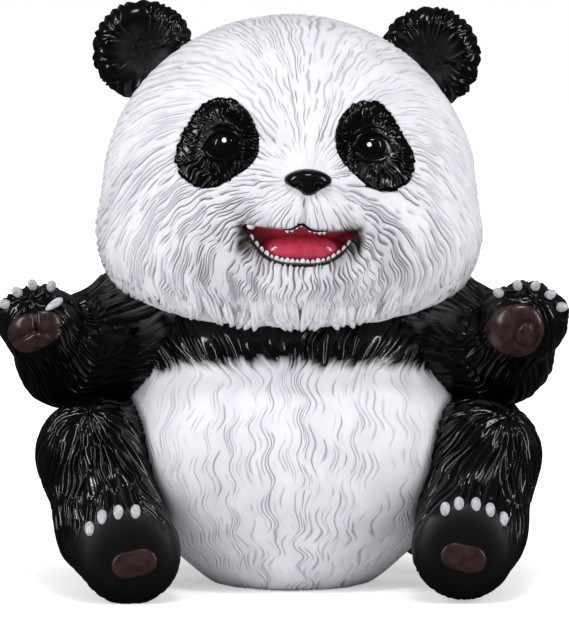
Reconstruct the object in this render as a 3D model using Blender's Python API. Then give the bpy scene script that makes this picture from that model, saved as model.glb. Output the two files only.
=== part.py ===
"""Seated panda figurine, cast as one solid piece: the head turned a little, both front paws raised,
the soles of the hind feet facing forward, and locks of fur carved all over.

Metres, +Z up, -Y the front and +X the viewer's right. The origin is on the floor, under the middle of
the figure's box. The figure is a free form: its pose, proportions and carving are shares of its height.
A share is written in two-hundredths of the height, which is a millimetre at the height given here.
"""

import math

import bmesh
import bpy
import numpy as np

# Driving dimensions
FIGURE_HEIGHT = 0.200
SHARE = FIGURE_HEIGHT / 200
TRIANGLE_BUDGET = 9700

# Casting paint, one glossy resin coat
PAINT_COLOUR = (0.80, 0.79, 0.83, 1.0)
PAINT_ROUGHNESS = 0.35

# Fineness of the grid that the form is read on, in shares
CELL = 1.15
COARSE_STEP = 4
GRID_LOW, GRID_HIGH = (-104, -76, -6), (104, 66, 206)
UNDERSIDE_TRIM = 0.35

# Where the form's own zero lies from the origin, so that the origin is under the middle of the box
STANCE = (1.8, 6.2)

# Locks of fur: groove depth, and how far a lock runs before the next one covers its tip
LOCK_DEPTH = 2.1
FACE_LOCK_DEPTH = 1.3
LOCK_RUN = 23.0
LOCK_WAVE = 0.40


def turn_about(axis, degrees):
    """Rotation matrix about a world axis, 0 for X, 1 for Y and 2 for Z."""
    angle = math.radians(degrees)
    first, second = [(1, 2), (2, 0), (0, 1)][axis]
    matrix = np.eye(3)
    matrix[first, first] = matrix[second, second] = math.cos(angle)
    matrix[second, first] = math.sin(angle)
    matrix[first, second] = -math.sin(angle)
    return matrix


LEVEL = np.eye(3)
HEAD_TURN = turn_about(2, 4.5) @ turn_about(1, 1.5)


def ball(points, centre, radii, turn=LEVEL):
    """Distance to an ellipsoid, close to true near its skin."""
    local = (points - np.asarray(centre) * SHARE) @ turn
    scaled = local / (np.asarray(radii) * SHARE)
    reach = np.linalg.norm(scaled, axis=1)
    steep = np.linalg.norm(scaled / (np.asarray(radii) * SHARE), axis=1)
    return reach * (reach - 1) / np.maximum(steep, 1e-9)


def limb(points, start, end, start_radius, end_radius):
    """Distance to a rounded limb that tapers from one ball to another."""
    start, end = np.asarray(start) * SHARE, np.asarray(end) * SHARE
    along = end - start
    share = np.clip((points - start) @ along / (along @ along), 0, 1)
    radius = (start_radius + (end_radius - start_radius) * share) * SHARE
    return np.linalg.norm(points - start - share[:, None] * along, axis=1) - radius


def fuse(first, second, softness):
    """Union of two forms, with a fillet of about the given softness between them."""
    softness = softness * SHARE
    overlap = np.maximum(softness - np.abs(first - second), 0) / softness
    return np.minimum(first, second) - overlap * overlap * softness / 4


def hollow(form, cutter, softness):
    """Form with a rounded hollow cut into it."""
    return -fuse(-form, cutter, softness)


def smooth_step(value, low, high):
    """Zero below low, one above high, and a soft rise between them."""
    share = np.clip((value - low) / (high - low), 0, 1)
    return share * share * (3 - 2 * share)


def scatter(number):
    """A fixed value from 0 to 1 for each whole number."""
    return np.modf(np.abs(np.sin(number * 12.9898) * 43758.5453))[0]


def locks(points, hub, axis, count, near, far):
    """Height of the fur: pointed locks that fan out from a hub round an axis, each over the next one's root.

    The across value counts locks round the axis and the along value is the way from the hub. Where the
    fan is too narrow for a lock, inside near, the fur lies flat.
    """
    axis = np.asarray(axis, float) / np.linalg.norm(axis)
    side = np.cross(axis, (0.31, 0.17, 1.0) if abs(axis[2]) < 0.8 else (0.0, 1.0, 0.0))
    side /= np.linalg.norm(side)
    rel = points / SHARE - np.asarray(hub)
    flat = rel - (rel @ axis)[:, None] * axis
    spread = np.linalg.norm(flat, axis=1)
    angle = np.arctan2(flat @ np.cross(axis, side), flat @ side)
    along = np.linalg.norm(rel, axis=1)
    wave = LOCK_WAVE * np.sin(along / 5.5 + 2.1 * np.sin(angle * 3))
    across = angle * count / (2 * math.pi) + wave
    column = np.floor(across)
    ridge = 1 - np.abs(2 * (across - column) - 1) ** 1.6
    run = along / LOCK_RUN + scatter(np.mod(column, count))
    tip = run - np.floor(run)
    height = ridge * (0.55 + 0.45 * tip) - 0.55
    return height * smooth_step(spread, near, far)


# Head: a wide dome over full cheeks, with a short muzzle
HEAD_MIDDLE = (0, -6, 135)
DOME_RADII = (64, 54, 61)
CHEEK_SPREAD, CHEEK_HEIGHT = 26.5, 118.5
CHEEK_RADII = (38, 42, 25.5)
MUZZLE_MIDDLE, MUZZLE_RADII = (4.6, -44, 133), (24, 22, 17)
CHIN_MIDDLE, CHIN_RADII = (4.4, -43, 111.5), (23, 17.5, 12)
JAW_LEVEL, JAW_ROUNDING = 94.5, 6.0
FACE_HUB = (4.5, -62, 148)

# Face details, as places on the front and how deep they lie
EYES = ((-21.5, 153.5), (27.3, 152.8))
EYE_RADII = (5.9, 3.6, 4.7)
EYE_DEPTH = -51.2
NOSE_MIDDLE, NOSE_RADII = (6.2, -64.2, 141.6), (8.0, 4.6, 4.9)
MOUTH_MIDDLE = (3.9, -63, 124.6)
MOUTH_HALF_WIDTH, MOUTH_LIP, MOUTH_DROP, MOUTH_DEPTH = 19.5, 3.0, 9.6, 12
TONGUE_MIDDLE, TONGUE_RADII = (4.2, -49.5, 116.5), (13, 8, 4.5)

# Ears: thick discs with a cupped front
EARS = ((-49.9, -3, 183.6), (48.2, -3, 181.2))
EAR_RADII = (16.3, 7.2, 16.3)
EAR_CUP_RADII = (11.0, 6.2, 11.0)
EAR_NOTCHES = 26

# Fringe of pointed tufts along the jaw
FRINGE_TUFTS = 25
FRINGE_SPREAD = 104
FRINGE_HEIGHT, FRINGE_BOW = 102.5, 7.0
TUFT_LENGTH, TUFT_ROOT, TUFT_TIP = 10.5, 4.0, 1.0

# Trunk
BELLY_MIDDLE, BELLY_RADII = (1, 1, 47), (60, 48, 49)
SEAT_MIDDLE, SEAT_RADII = (1, 3, 13), (31, 32, 19)
CHEST_MIDDLE, CHEST_RADII = (0, 6, 84), (54, 41, 21)
BAND_EDGE, BAND_STEP = 80.5, 1.5
TAIL_MIDDLE, TAIL_RADII = (0, 47, 17), (12, 9, 10)

# Front legs: shoulder, elbow and raised paw, for the viewer's left and right
SHOULDERS = ((-48, 6, 88), (48, 6, 88))
ELBOWS = ((-76.5, -3, 79), (73.5, -3, 80))
WRISTS = ((-82, -15, 86), (77, -15, 87))
PAWS = ((-84.6, -24, 93.5), (79.8, -24, 94))
SHOULDER_RADIUS, ELBOW_RADIUS, WRIST_RADIUS = 24.5, 16.5, 12.8
PAW_RADII = ((14.2, 10.5, 12.6), (14.6, 10.5, 13.6))
PALM_MIDDLES = ((-85.5, -33.2, 89.5), (77.4, -33.2, 89.5))
PALM_RADII = ((9.4, 3.2, 6.6), (9.4, 3.2, 8.8))

# Hind legs: hip, knee and foot
HIPS = ((-49, 8, 37), (49, 8, 37))
KNEES = ((-66.4, -18, 46.5), (66.2, -18, 46.5))
ANKLES = ((-60.0, -32, 24), (61.8, -32, 24))
FEET = ((-53.4, -46, 16.7), (58.2, -46, 18.5))
HIP_RADIUS, KNEE_RADIUS, ANKLE_RADIUS, FOOT_RADIUS = 29.0, 18.2, 17.8, 17.0
SOLE_DEPTH = -54.5
SOLE_PADS = ((-51.3, 14.6), (57.8, 16.6))
SOLE_PAD_RADII = (8.6, 2.4, 5.8)

# Claws: where each row is centred, its spread and how the row bows
CLAW_LENGTH, CLAW_ROOT, CLAW_TIP = 4.0, 2.2, 1.5


def paw_claws(side):
    """Roots and tips of the claws of one raised paw, fanned over its top."""
    centre = np.asarray(PAWS[side], float)
    outward = (-1, 1)[side]
    for step in range(5):
        lean = math.radians(-62 + 31 * step + 8 * outward)
        reach = PAW_RADII[side][2] * 0.92
        root = centre + (math.sin(lean) * reach, -6.5, math.cos(lean) * reach)
        yield root, root + np.array((math.sin(lean) * 0.55, -0.6, math.cos(lean) * 0.55)) * CLAW_LENGTH


def foot_claws(side):
    """Roots and tips of the claws of one hind foot, along the top of its sole."""
    middle = np.asarray(FEET[side], float)
    for step in range(5):
        lean = math.radians(-52 + 26 * step)
        root = middle + (math.sin(lean) * 14.6 + (-1.5, 2.5)[side], -6.0, math.cos(lean) * 15.6)
        yield root, root + np.array((math.sin(lean) * 0.2, -0.95, 0.05)) * CLAW_LENGTH


def head_form(points):
    """The head without its ears: dome, cheeks, muzzle, chin, and the mouth's hollow."""
    form = ball(points, HEAD_MIDDLE, DOME_RADII, HEAD_TURN)
    for side in (-1, 1):
        cheek = (side * CHEEK_SPREAD, HEAD_MIDDLE[1] - 4, CHEEK_HEIGHT)
        form = fuse(form, ball(points, cheek, CHEEK_RADII), 10)
    form = fuse(form, ball(points, MUZZLE_MIDDLE, MUZZLE_RADII, HEAD_TURN), 9)
    form = fuse(form, ball(points, CHIN_MIDDLE, CHIN_RADII, HEAD_TURN), 8)
    fur = locks(points, FACE_HUB, (0, 1, 0), 46, 16, 34)
    for x, z in EYES:
        spot = np.hypot(points[:, 0] / SHARE - x, points[:, 2] / SHARE - z)
        fur = fur * smooth_step(spot, 11, 17)
    form = form - FACE_LOCK_DEPTH * SHARE * fur
    return -fuse(-form, points[:, 2] - JAW_LEVEL * SHARE, JAW_ROUNDING)


def face_form(points, form):
    """The head with its mouth, nose and eyes."""
    local = (points - np.asarray(MOUTH_MIDDLE) * SHARE) @ HEAD_TURN / SHARE
    across = local[:, 0] / MOUTH_HALF_WIDTH
    smile = 1 - across**2
    upper = MOUTH_LIP - 1.2 * smile + 1.6 * np.exp(-((across / 0.16) ** 2))
    lower = MOUTH_LIP - MOUTH_DROP * 1.25 * smile
    gap = np.maximum(local[:, 2] - upper, lower - local[:, 2])
    gap = np.maximum(gap, np.abs(local[:, 0]) - MOUTH_HALF_WIDTH)
    gap = np.maximum(gap, local[:, 1] - MOUTH_DEPTH) * SHARE
    form = hollow(form, gap, 1.6)
    form = fuse(form, ball(points, TONGUE_MIDDLE, TONGUE_RADII, HEAD_TURN), 1.0)
    form = fuse(form, ball(points, NOSE_MIDDLE, NOSE_RADII, HEAD_TURN), 1.2)
    for x, z in EYES:
        socket = ball(points, (x, EYE_DEPTH - 1.5, z), (8.4, 3.0, 6.4))
        form = hollow(form, socket, 2.0)
        form = fuse(form, ball(points, (x, EYE_DEPTH, z), EYE_RADII), 0.6)
    return form


def fringe_form(points):
    """Pointed tufts that hang from the jaw over the chest."""
    form = np.full(len(points), FIGURE_HEIGHT)
    for step in range(FRINGE_TUFTS):
        share = step / (FRINGE_TUFTS - 1)
        angle = math.radians((share - 0.5) * 2 * FRINGE_SPREAD)
        bow = FRINGE_BOW * (1 - math.cos(angle))
        root = np.array((2 + 53 * math.sin(angle), -10 - 34 * math.cos(angle), FRINGE_HEIGHT + bow))
        sway = 3.0 * math.sin(step * 2.4)
        tip = root + np.array((3.5 * math.sin(angle) + sway, -2.5 * math.cos(angle), -TUFT_LENGTH + sway * 0.5))
        form = np.minimum(form, limb(points, root, tip, TUFT_ROOT, TUFT_TIP))
    return form


def ear_form(points, side):
    """One ear: a thick disc, cupped in front, its rim cut into strands."""
    centre = EARS[side]
    rel = points / SHARE - np.asarray(centre)
    angle = np.arctan2(rel[:, 2], rel[:, 0])
    rim = np.hypot(rel[:, 0], rel[:, 2])
    notch = np.cos(angle * EAR_NOTCHES + 1.4 * np.sin(rim * 0.45)) * 0.55 * smooth_step(rim, 7, 14)
    form = ball(points, centre, EAR_RADII) - notch * SHARE
    cup = (centre[0], centre[1] - EAR_RADII[1], centre[2])
    return hollow(form, ball(points, cup, EAR_CUP_RADII), 3.0)


def trunk_form(points):
    """Belly, chest and tail, with locks that run down from the chest."""
    form = fuse(ball(points, BELLY_MIDDLE, BELLY_RADII), ball(points, CHEST_MIDDLE, CHEST_RADII), 9)
    form = fuse(form, ball(points, SEAT_MIDDLE, SEAT_RADII), 12)
    form = fuse(form, ball(points, TAIL_MIDDLE, TAIL_RADII), 5)
    fur = locks(points, (1, 1, 108), (0, 0, 1), 40, 12, 26)
    edge = BAND_EDGE - 5 * fur
    band = smooth_step(points[:, 2] / SHARE, edge, edge + 2.5)
    return form - (LOCK_DEPTH * fur + BAND_STEP * band) * SHARE


def arm_form(points, side):
    """One front leg, raised, with the palm to the front."""
    form = limb(points, SHOULDERS[side], ELBOWS[side], SHOULDER_RADIUS, ELBOW_RADIUS)
    form = fuse(form, limb(points, ELBOWS[side], WRISTS[side], ELBOW_RADIUS, WRIST_RADIUS), 5)
    form = fuse(form, ball(points, PAWS[side], PAW_RADII[side]), 6)
    along = np.asarray(ELBOWS[side], float) - np.asarray(SHOULDERS[side], float)
    fur = locks(points, SHOULDERS[side], along, 13, 4, 11)
    palm = np.linalg.norm(points / SHARE - np.asarray(PALM_MIDDLES[side]), axis=1)
    form = form - LOCK_DEPTH * SHARE * fur * smooth_step(palm, 11, 16)
    form = fuse(form, ball(points, PALM_MIDDLES[side], PALM_RADII[side]), 0.8)
    for root, tip in paw_claws(side):
        form = fuse(form, limb(points, root, tip, CLAW_ROOT, CLAW_TIP), 0.7)
    return form


def leg_form(points, side):
    """One hind leg, knee out to the side and the sole to the front."""
    form = limb(points, HIPS[side], KNEES[side], HIP_RADIUS, KNEE_RADIUS)
    form = fuse(form, limb(points, KNEES[side], ANKLES[side], KNEE_RADIUS, ANKLE_RADIUS), 5)
    form = fuse(form, limb(points, ANKLES[side], FEET[side], ANKLE_RADIUS, FOOT_RADIUS), 4)
    fur = locks(points, KNEES[side], (0, 0.5, -1), 17, 3, 12)
    sole = points[:, 1] / SHARE - SOLE_DEPTH
    form = form - LOCK_DEPTH * SHARE * fur * smooth_step(sole, 3, 9)
    form = -fuse(-form, sole * SHARE, 3.5)
    x, z = SOLE_PADS[side]
    form = fuse(form, ball(points, (x, SOLE_DEPTH + 0.6, z), SOLE_PAD_RADII), 0.8)
    for root, tip in foot_claws(side):
        form = fuse(form, limb(points, root, tip, CLAW_ROOT, CLAW_TIP), 0.7)
    return form


def figure_form(points):
    """The whole figure as one distance, negative inside."""
    form = fuse(head_form(points), fringe_form(points), 1.5)
    form = face_form(points, form)
    form = fuse(form, trunk_form(points), 2.5)
    for side in (0, 1):
        form = fuse(form, ear_form(points, side), 3.0)
        form = fuse(form, fuse(arm_form(points, side), leg_form(points, side), 6.0), 2.5)
    return form


def grid_axis(low, high, step):
    """Grid places from low to at least high, a whole number of coarse steps."""
    blocks = math.ceil((high - low) / (step * COARSE_STEP))
    return (low + step * np.arange(blocks * COARSE_STEP)) * SHARE


def sampled_form():
    """The form on a grid: exact near the skin, and only its sign elsewhere."""
    axes = [grid_axis(low, high, CELL) for low, high in zip(GRID_LOW, GRID_HIGH)]
    coarse = np.meshgrid(*[axis[::COARSE_STEP] for axis in axes], indexing="ij")
    shape = coarse[0].shape
    rough = figure_form(np.stack([part.ravel() for part in coarse], axis=1)).reshape(shape)
    reach = CELL * COARSE_STEP * SHARE * 1.9
    close = np.abs(rough) < reach
    for axis in range(3):
        close = close | np.roll(close, 1, axis) | np.roll(close, -1, axis)
    values = rough
    for axis in range(3):
        values = np.repeat(values, COARSE_STEP, axis)
        close = np.repeat(close, COARSE_STEP, axis)
    values = np.sign(values) * reach
    spots = np.argwhere(close)
    points = np.stack([axes[axis][spots[:, axis]] for axis in range(3)], axis=1)
    values[close] = figure_form(points)
    return axes, unpinched(values)


def unpinched(values):
    """The same grid with its pinches filled, where two walls of the skin would meet in an edge or a point."""
    fill = -0.02 * CELL * SHARE
    pinched = True
    while pinched:
        pinched = False
        inside = values < 0
        for axis in range(3):
            face = np.moveaxis(inside, axis, 0)
            grid = np.moveaxis(values, axis, 0)
            low, right = face[:, :-1, :-1], face[:, 1:, :-1]
            up, far = face[:, :-1, 1:], face[:, 1:, 1:]
            spots = np.argwhere((low == far) & (right == up) & (low != right))
            for across, along in ((0, 0), (1, 0), (0, 1), (1, 1)):
                where = tuple((spots + (0, across, along)).T)
                grid[where] = np.minimum(grid[where], fill)
            pinched = pinched or len(spots) > 0
        for j, k in ((0, 0), (0, 1), (1, 0), (1, 1)):
            near = (0, j, k)
            apart = (1, 1 - j, 1 - k)
            shape = np.array(values.shape) - 1
            blocks = {}
            for corner in [(a, b, c) for a in (0, 1) for b in (0, 1) for c in (0, 1)]:
                blocks[corner] = inside[tuple(slice(c, c + n) for c, n in zip(corner, shape))]
            pair = blocks[near] == blocks[apart]
            for corner, block in blocks.items():
                if corner not in (near, apart):
                    pair = pair & (block != blocks[near])
            spots = np.argwhere(pair)
            for corner in blocks:
                where = tuple((spots + corner).T)
                values[where] = np.minimum(values[where], fill)
            pinched = pinched or len(spots) > 0
    return values


def net(axes, values):
    """Closed quad mesh of the zero level of a grid, one corner in each cell that the skin crosses."""
    inside = values < 0
    shape = np.array(values.shape) - 1
    corners = [(i, j, k) for i in (0, 1) for j in (0, 1) for k in (0, 1)]

    def block(array, corner):
        return array[tuple(slice(c, c + n) for c, n in zip(corner, shape))]

    filled = sum(block(inside, corner).astype(np.int8) for corner in corners)
    crossed = (filled > 0) & (filled < 8)
    cells = np.argwhere(crossed)
    number = np.full(shape, -1)
    number[crossed] = np.arange(len(cells))
    total = np.zeros((len(cells), 3))
    hits = np.zeros(len(cells))
    for corner in corners:
        for axis in range(3):
            if corner[axis]:
                continue
            other = tuple(c + (a == axis) for a, c in enumerate(corner))
            near = values[tuple((cells + corner).T)]
            far = values[tuple((cells + other).T)]
            hit = (near < 0) != (far < 0)
            place = cells[hit] + np.array(corner, float)
            place[:, axis] += near[hit] / (near[hit] - far[hit])
            total[hit] += place
            hits[hit] += 1
    step = axes[0][1] - axes[0][0]
    points = np.array([axis[0] for axis in axes]) + total / hits[:, None] * step
    quads = []
    for axis in range(3):
        first, second = (axis + 1) % 3, (axis + 2) % 3
        ahead = np.moveaxis(inside, axis, 0)
        flips = np.moveaxis(ahead[:-1] != ahead[1:], 0, axis)
        spots = np.argwhere(flips)
        spots = spots[(spots[:, first] > 0) & (spots[:, second] > 0)]
        ring = []
        for back_first, back_second in ((1, 1), (0, 1), (0, 0), (1, 0)):
            spot = spots.copy()
            spot[:, first] -= back_first
            spot[:, second] -= back_second
            ring.append(number[tuple(spot.T)])
        ring = np.stack(ring, axis=1)
        outward = inside[tuple(spots.T)]
        ring[~outward] = ring[~outward][:, ::-1]
        quads.append(ring)
    return points, np.concatenate(quads)


def outer_shell(points, quads):
    """The net without the walls of any pocket sealed inside the casting: its largest shell alone."""
    label = np.arange(len(points))
    while True:
        following = label.copy()
        np.minimum.at(following, quads.ravel(), np.repeat(label[quads].min(axis=1), 4))
        following = following[following]
        if (following == label).all():
            break
        label = following
    names, sizes = np.unique(label, return_counts=True)
    kept = label == names[sizes.argmax()]
    number = np.cumsum(kept) - 1
    return points[kept], number[quads[kept[quads[:, 0]]]]


def clear_scene():
    """Removes whatever the file opened with."""
    for obj in list(bpy.data.objects):
        bpy.data.objects.remove(obj, do_unlink=True)


def resin():
    """Glossy painted resin."""
    material = bpy.data.materials.new("painted_resin")
    material.use_nodes = True
    shader = material.node_tree.nodes["Principled BSDF"]
    shader.inputs["Base Color"].default_value = PAINT_COLOUR
    shader.inputs["Roughness"].default_value = PAINT_ROUGHNESS
    shader.inputs["Metallic"].default_value = 0.0
    return material


def thinned(mesh):
    """The same mesh within the triangle budget, sparing the detail."""
    obj = bpy.data.objects.new("fine_figure", mesh)
    bpy.context.scene.collection.objects.link(obj)
    mesh.calc_loop_triangles()
    reduce = obj.modifiers.new("reduce", "DECIMATE")
    reduce.ratio = TRIANGLE_BUDGET / len(mesh.loop_triangles)
    graph = bpy.context.evaluated_depsgraph_get()
    result = bpy.data.meshes.new_from_object(obj.evaluated_get(graph))
    bpy.data.objects.remove(obj)
    return result


def flatten_underside(mesh):
    """Cuts the mesh level at the floor, closes the cut, and sets the form over the origin."""
    work = bmesh.new()
    work.from_mesh(mesh)
    everything = work.verts[:] + work.edges[:] + work.faces[:]
    cut = bmesh.ops.bisect_plane(
        work,
        geom=everything,
        dist=UNDERSIDE_TRIM * SHARE * 0.1,
        plane_co=(0, 0, UNDERSIDE_TRIM * SHARE),
        plane_no=(0, 0, 1),
        clear_inner=True,
    )
    rim = [item for item in cut["geom_cut"] if isinstance(item, bmesh.types.BMEdge)]
    bmesh.ops.holes_fill(work, edges=rim, sides=0)
    bmesh.ops.triangulate(work, faces=[face for face in work.faces if len(face.verts) > 4])
    bmesh.ops.translate(work, vec=np.array((*STANCE, -UNDERSIDE_TRIM)) * SHARE, verts=work.verts)
    for vertex in work.verts:
        if abs(vertex.co.z) < UNDERSIDE_TRIM * SHARE * 0.1:
            vertex.co.z = 0.0
    work.to_mesh(mesh)
    work.free()


def build_figurine():
    """The figurine as one closed mesh object."""
    axes, values = sampled_form()
    points, quads = outer_shell(*net(axes, values))
    mesh = bpy.data.meshes.new("panda_figurine")
    mesh.from_pydata(points.tolist(), [], quads.tolist())
    mesh = thinned(mesh)
    flatten_underside(mesh)
    mesh.name = "panda_figurine"
    mesh.shade_smooth()
    mesh.materials.append(resin())
    figurine = bpy.data.objects.new("panda_figurine", mesh)
    bpy.context.scene.collection.objects.link(figurine)
    return figurine


clear_scene()
build_figurine()
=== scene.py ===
"""Looks of the seated panda figurine: carved fur, hand-painted resin, a pale floor and studio light.

Shapes are worked out in figurine millimetres, a two-hundredth of the casting's height each, and put
into the frame at the end. -Y is the front, +X the viewer's right and +Z up. Each furry part is a closed
net of rings whose columns run along the fur, so that every groove between two strands is a line of it.
"""

import logging
import math
from dataclasses import dataclass, field
from enum import Enum
from typing import Callable, Sequence

import bpy
import numpy as np
from mathutils import Matrix, Vector


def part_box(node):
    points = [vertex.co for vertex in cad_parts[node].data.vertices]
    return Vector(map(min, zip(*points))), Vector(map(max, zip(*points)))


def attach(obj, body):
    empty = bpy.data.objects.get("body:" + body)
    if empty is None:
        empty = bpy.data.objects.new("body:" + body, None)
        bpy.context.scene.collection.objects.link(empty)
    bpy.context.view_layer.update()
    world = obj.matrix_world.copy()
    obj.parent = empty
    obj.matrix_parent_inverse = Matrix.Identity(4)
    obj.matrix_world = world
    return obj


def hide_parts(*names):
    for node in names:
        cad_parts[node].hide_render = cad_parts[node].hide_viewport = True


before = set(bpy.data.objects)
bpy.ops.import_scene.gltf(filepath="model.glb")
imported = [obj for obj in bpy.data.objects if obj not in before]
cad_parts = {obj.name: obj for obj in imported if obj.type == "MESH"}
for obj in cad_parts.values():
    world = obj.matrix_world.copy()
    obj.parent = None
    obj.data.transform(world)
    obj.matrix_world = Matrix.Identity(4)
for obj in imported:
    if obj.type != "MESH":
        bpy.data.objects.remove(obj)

LOG = logging.getLogger("panda_figurine")
CAST_NODE = "panda_figurine"
BODY = "root"
CAST_HEIGHT = 199.8
STANCE = np.array((1.8, 6.2, -0.35))

Array = np.ndarray
Form = Callable[[Array], Array]


# Small maths

def turn_about(axis: int, degrees: float) -> Array:
    """Rotation matrix about a world axis.

    Args:
        axis: 0 for X, 1 for Y and 2 for Z.
        degrees: How far it turns.

    Returns:
        The matrix.
    """
    angle = math.radians(degrees)
    first, second = [(1, 2), (2, 0), (0, 1)][axis]
    matrix = np.eye(3)
    matrix[first, first] = matrix[second, second] = math.cos(angle)
    matrix[second, first] = math.sin(angle)
    matrix[first, second] = -math.sin(angle)
    return matrix


def smooth_step(value: Array, low: float, high: float) -> Array:
    """Zero below low, one above high, and a soft rise between them."""
    share = np.clip((value - low) / (high - low), 0, 1)
    return share * share * (3 - 2 * share)


def scatter(*numbers: Array) -> Array:
    """A fixed value from 0 to 1 for each set of whole numbers."""
    total = sum(number * factor for number, factor in zip(numbers, (127.1, 311.7, 74.7, 19.3)))
    return np.modf(np.abs(np.sin(total + 0.5) * 43758.5453))[0]


def drift(x: Array, y: Array, seed: int) -> Array:
    """Smooth noise from -1 to 1 over a plane, with one new value at each whole number.

    Args:
        x: Place along the first way, in cells.
        y: Place along the second way, in cells.
        seed: Which noise of many.

    Returns:
        The noise at each place.
    """
    column, row = np.floor(x), np.floor(y)
    right, up = x - column, y - row
    right = right * right * (3 - 2 * right)
    up = up * up * (3 - 2 * up)
    total = 0
    for step_x in (0, 1):
        for step_y in (0, 1):
            weight = (right if step_x else 1 - right) * (up if step_y else 1 - up)
            total = total + weight * scatter(column + step_x, row + step_y, np.float64(seed))
    return 2 * total - 1


def ball(points: Array, centre: Sequence[float], radii: Sequence[float],
         turn: Array | None = None) -> Array:
    """Distance to an ellipsoid, close to true near its skin.

    Args:
        points: Where to measure.
        centre: Its middle.
        radii: Its half sizes along its own axes.
        turn: Its own axes as columns, or None for the world's.

    Returns:
        The distances, negative inside.
    """
    local = points - np.asarray(centre)
    if turn is not None:
        local = local @ turn
    scaled = local / np.asarray(radii)
    reach = np.sqrt((scaled * scaled).sum(axis=1))
    steep = np.sqrt(((scaled / np.asarray(radii)) ** 2).sum(axis=1))
    return reach * (reach - 1) / np.maximum(steep, 1e-9)


def limb(points: Array, start: Sequence[float], end: Sequence[float], first: float,
         last: float) -> Array:
    """Distance to a rounded limb that tapers from one ball's radius to another's.

    Args:
        points: Where to measure.
        start: Middle of the first ball.
        end: Middle of the last one.
        first: Radius at the start.
        last: Radius at the end.

    Returns:
        The distances, negative inside.
    """
    start, end = np.asarray(start, float), np.asarray(end, float)
    along = end - start
    share = np.clip((points - start) @ along / (along @ along), 0, 1)
    rest = points - start - share[:, None] * along
    return np.sqrt((rest * rest).sum(axis=1)) - (first + (last - first) * share)


def fuse(first: Array, second: Array, softness: float) -> Array:
    """Union of two forms, with a fillet of about the given softness between them."""
    overlap = np.maximum(softness - np.abs(first - second), 0) / softness
    return np.minimum(first, second) - overlap * overlap * softness / 4


def hollow(form: Array, cutter: Array, softness: float) -> Array:
    """Form with a rounded hollow cut into it."""
    return -fuse(-form, cutter, softness)


def unit(vector: Sequence[float]) -> Array:
    """The same direction, one long."""
    vector = np.asarray(vector, float)
    return vector / np.linalg.norm(vector)


def smoothed(knots: Array, times: int = 3) -> Array:
    """A line through some knots, with its corners cut a number of times.

    Args:
        knots: The line's corners.
        times: How often every corner is cut.

    Returns:
        The longer, rounder list of its points.
    """
    for _ in range(times):
        cut = np.empty((2 * len(knots) - 2, knots.shape[1]))
        cut[0::2] = 0.75 * knots[:-1] + 0.25 * knots[1:]
        cut[1::2] = 0.25 * knots[:-1] + 0.75 * knots[1:]
        knots = np.concatenate([knots[:1], cut, knots[-1:]])
    return knots


def evenly(line: Array, count: int) -> Array:
    """Points at equal distances along a line.

    Args:
        line: The line's points.
        count: How many to give.

    Returns:
        The points.
    """
    lengths = np.concatenate([[0], np.cumsum(np.linalg.norm(np.diff(line, axis=0), axis=1))])
    spots = np.linspace(0, lengths[-1], count)
    return np.stack([np.interp(spots, lengths, line[:, axis]) for axis in range(line.shape[1])], axis=1)


def line_distance(spots: Array, line: Sequence[Sequence[float]]) -> Array:
    """Distance of flat spots from a bent line.

    Args:
        spots: Where to measure.
        line: The line's corners.

    Returns:
        The distances.
    """
    line = np.asarray(line, float)
    nearest = np.full(len(spots), np.inf)
    for start, end in zip(line[:-1], line[1:]):
        along = end - start
        share = np.clip((spots - start) @ along / (along @ along), 0, 1)
        nearest = np.minimum(nearest, np.linalg.norm(spots - start - share[:, None] * along, axis=1))
    return nearest


# The figure's form, by region, as distances that are negative inside

class Side(Enum):
    """A side of the figure as the viewer sees it."""

    LEFT = 0
    RIGHT = 1

    @property
    def sign(self) -> int:
        """-1 on the viewer's left and 1 on the right."""
        return 2 * self.value - 1

    @property
    def label(self) -> str:
        """Word for piece names."""
        return self.name.lower()


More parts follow.
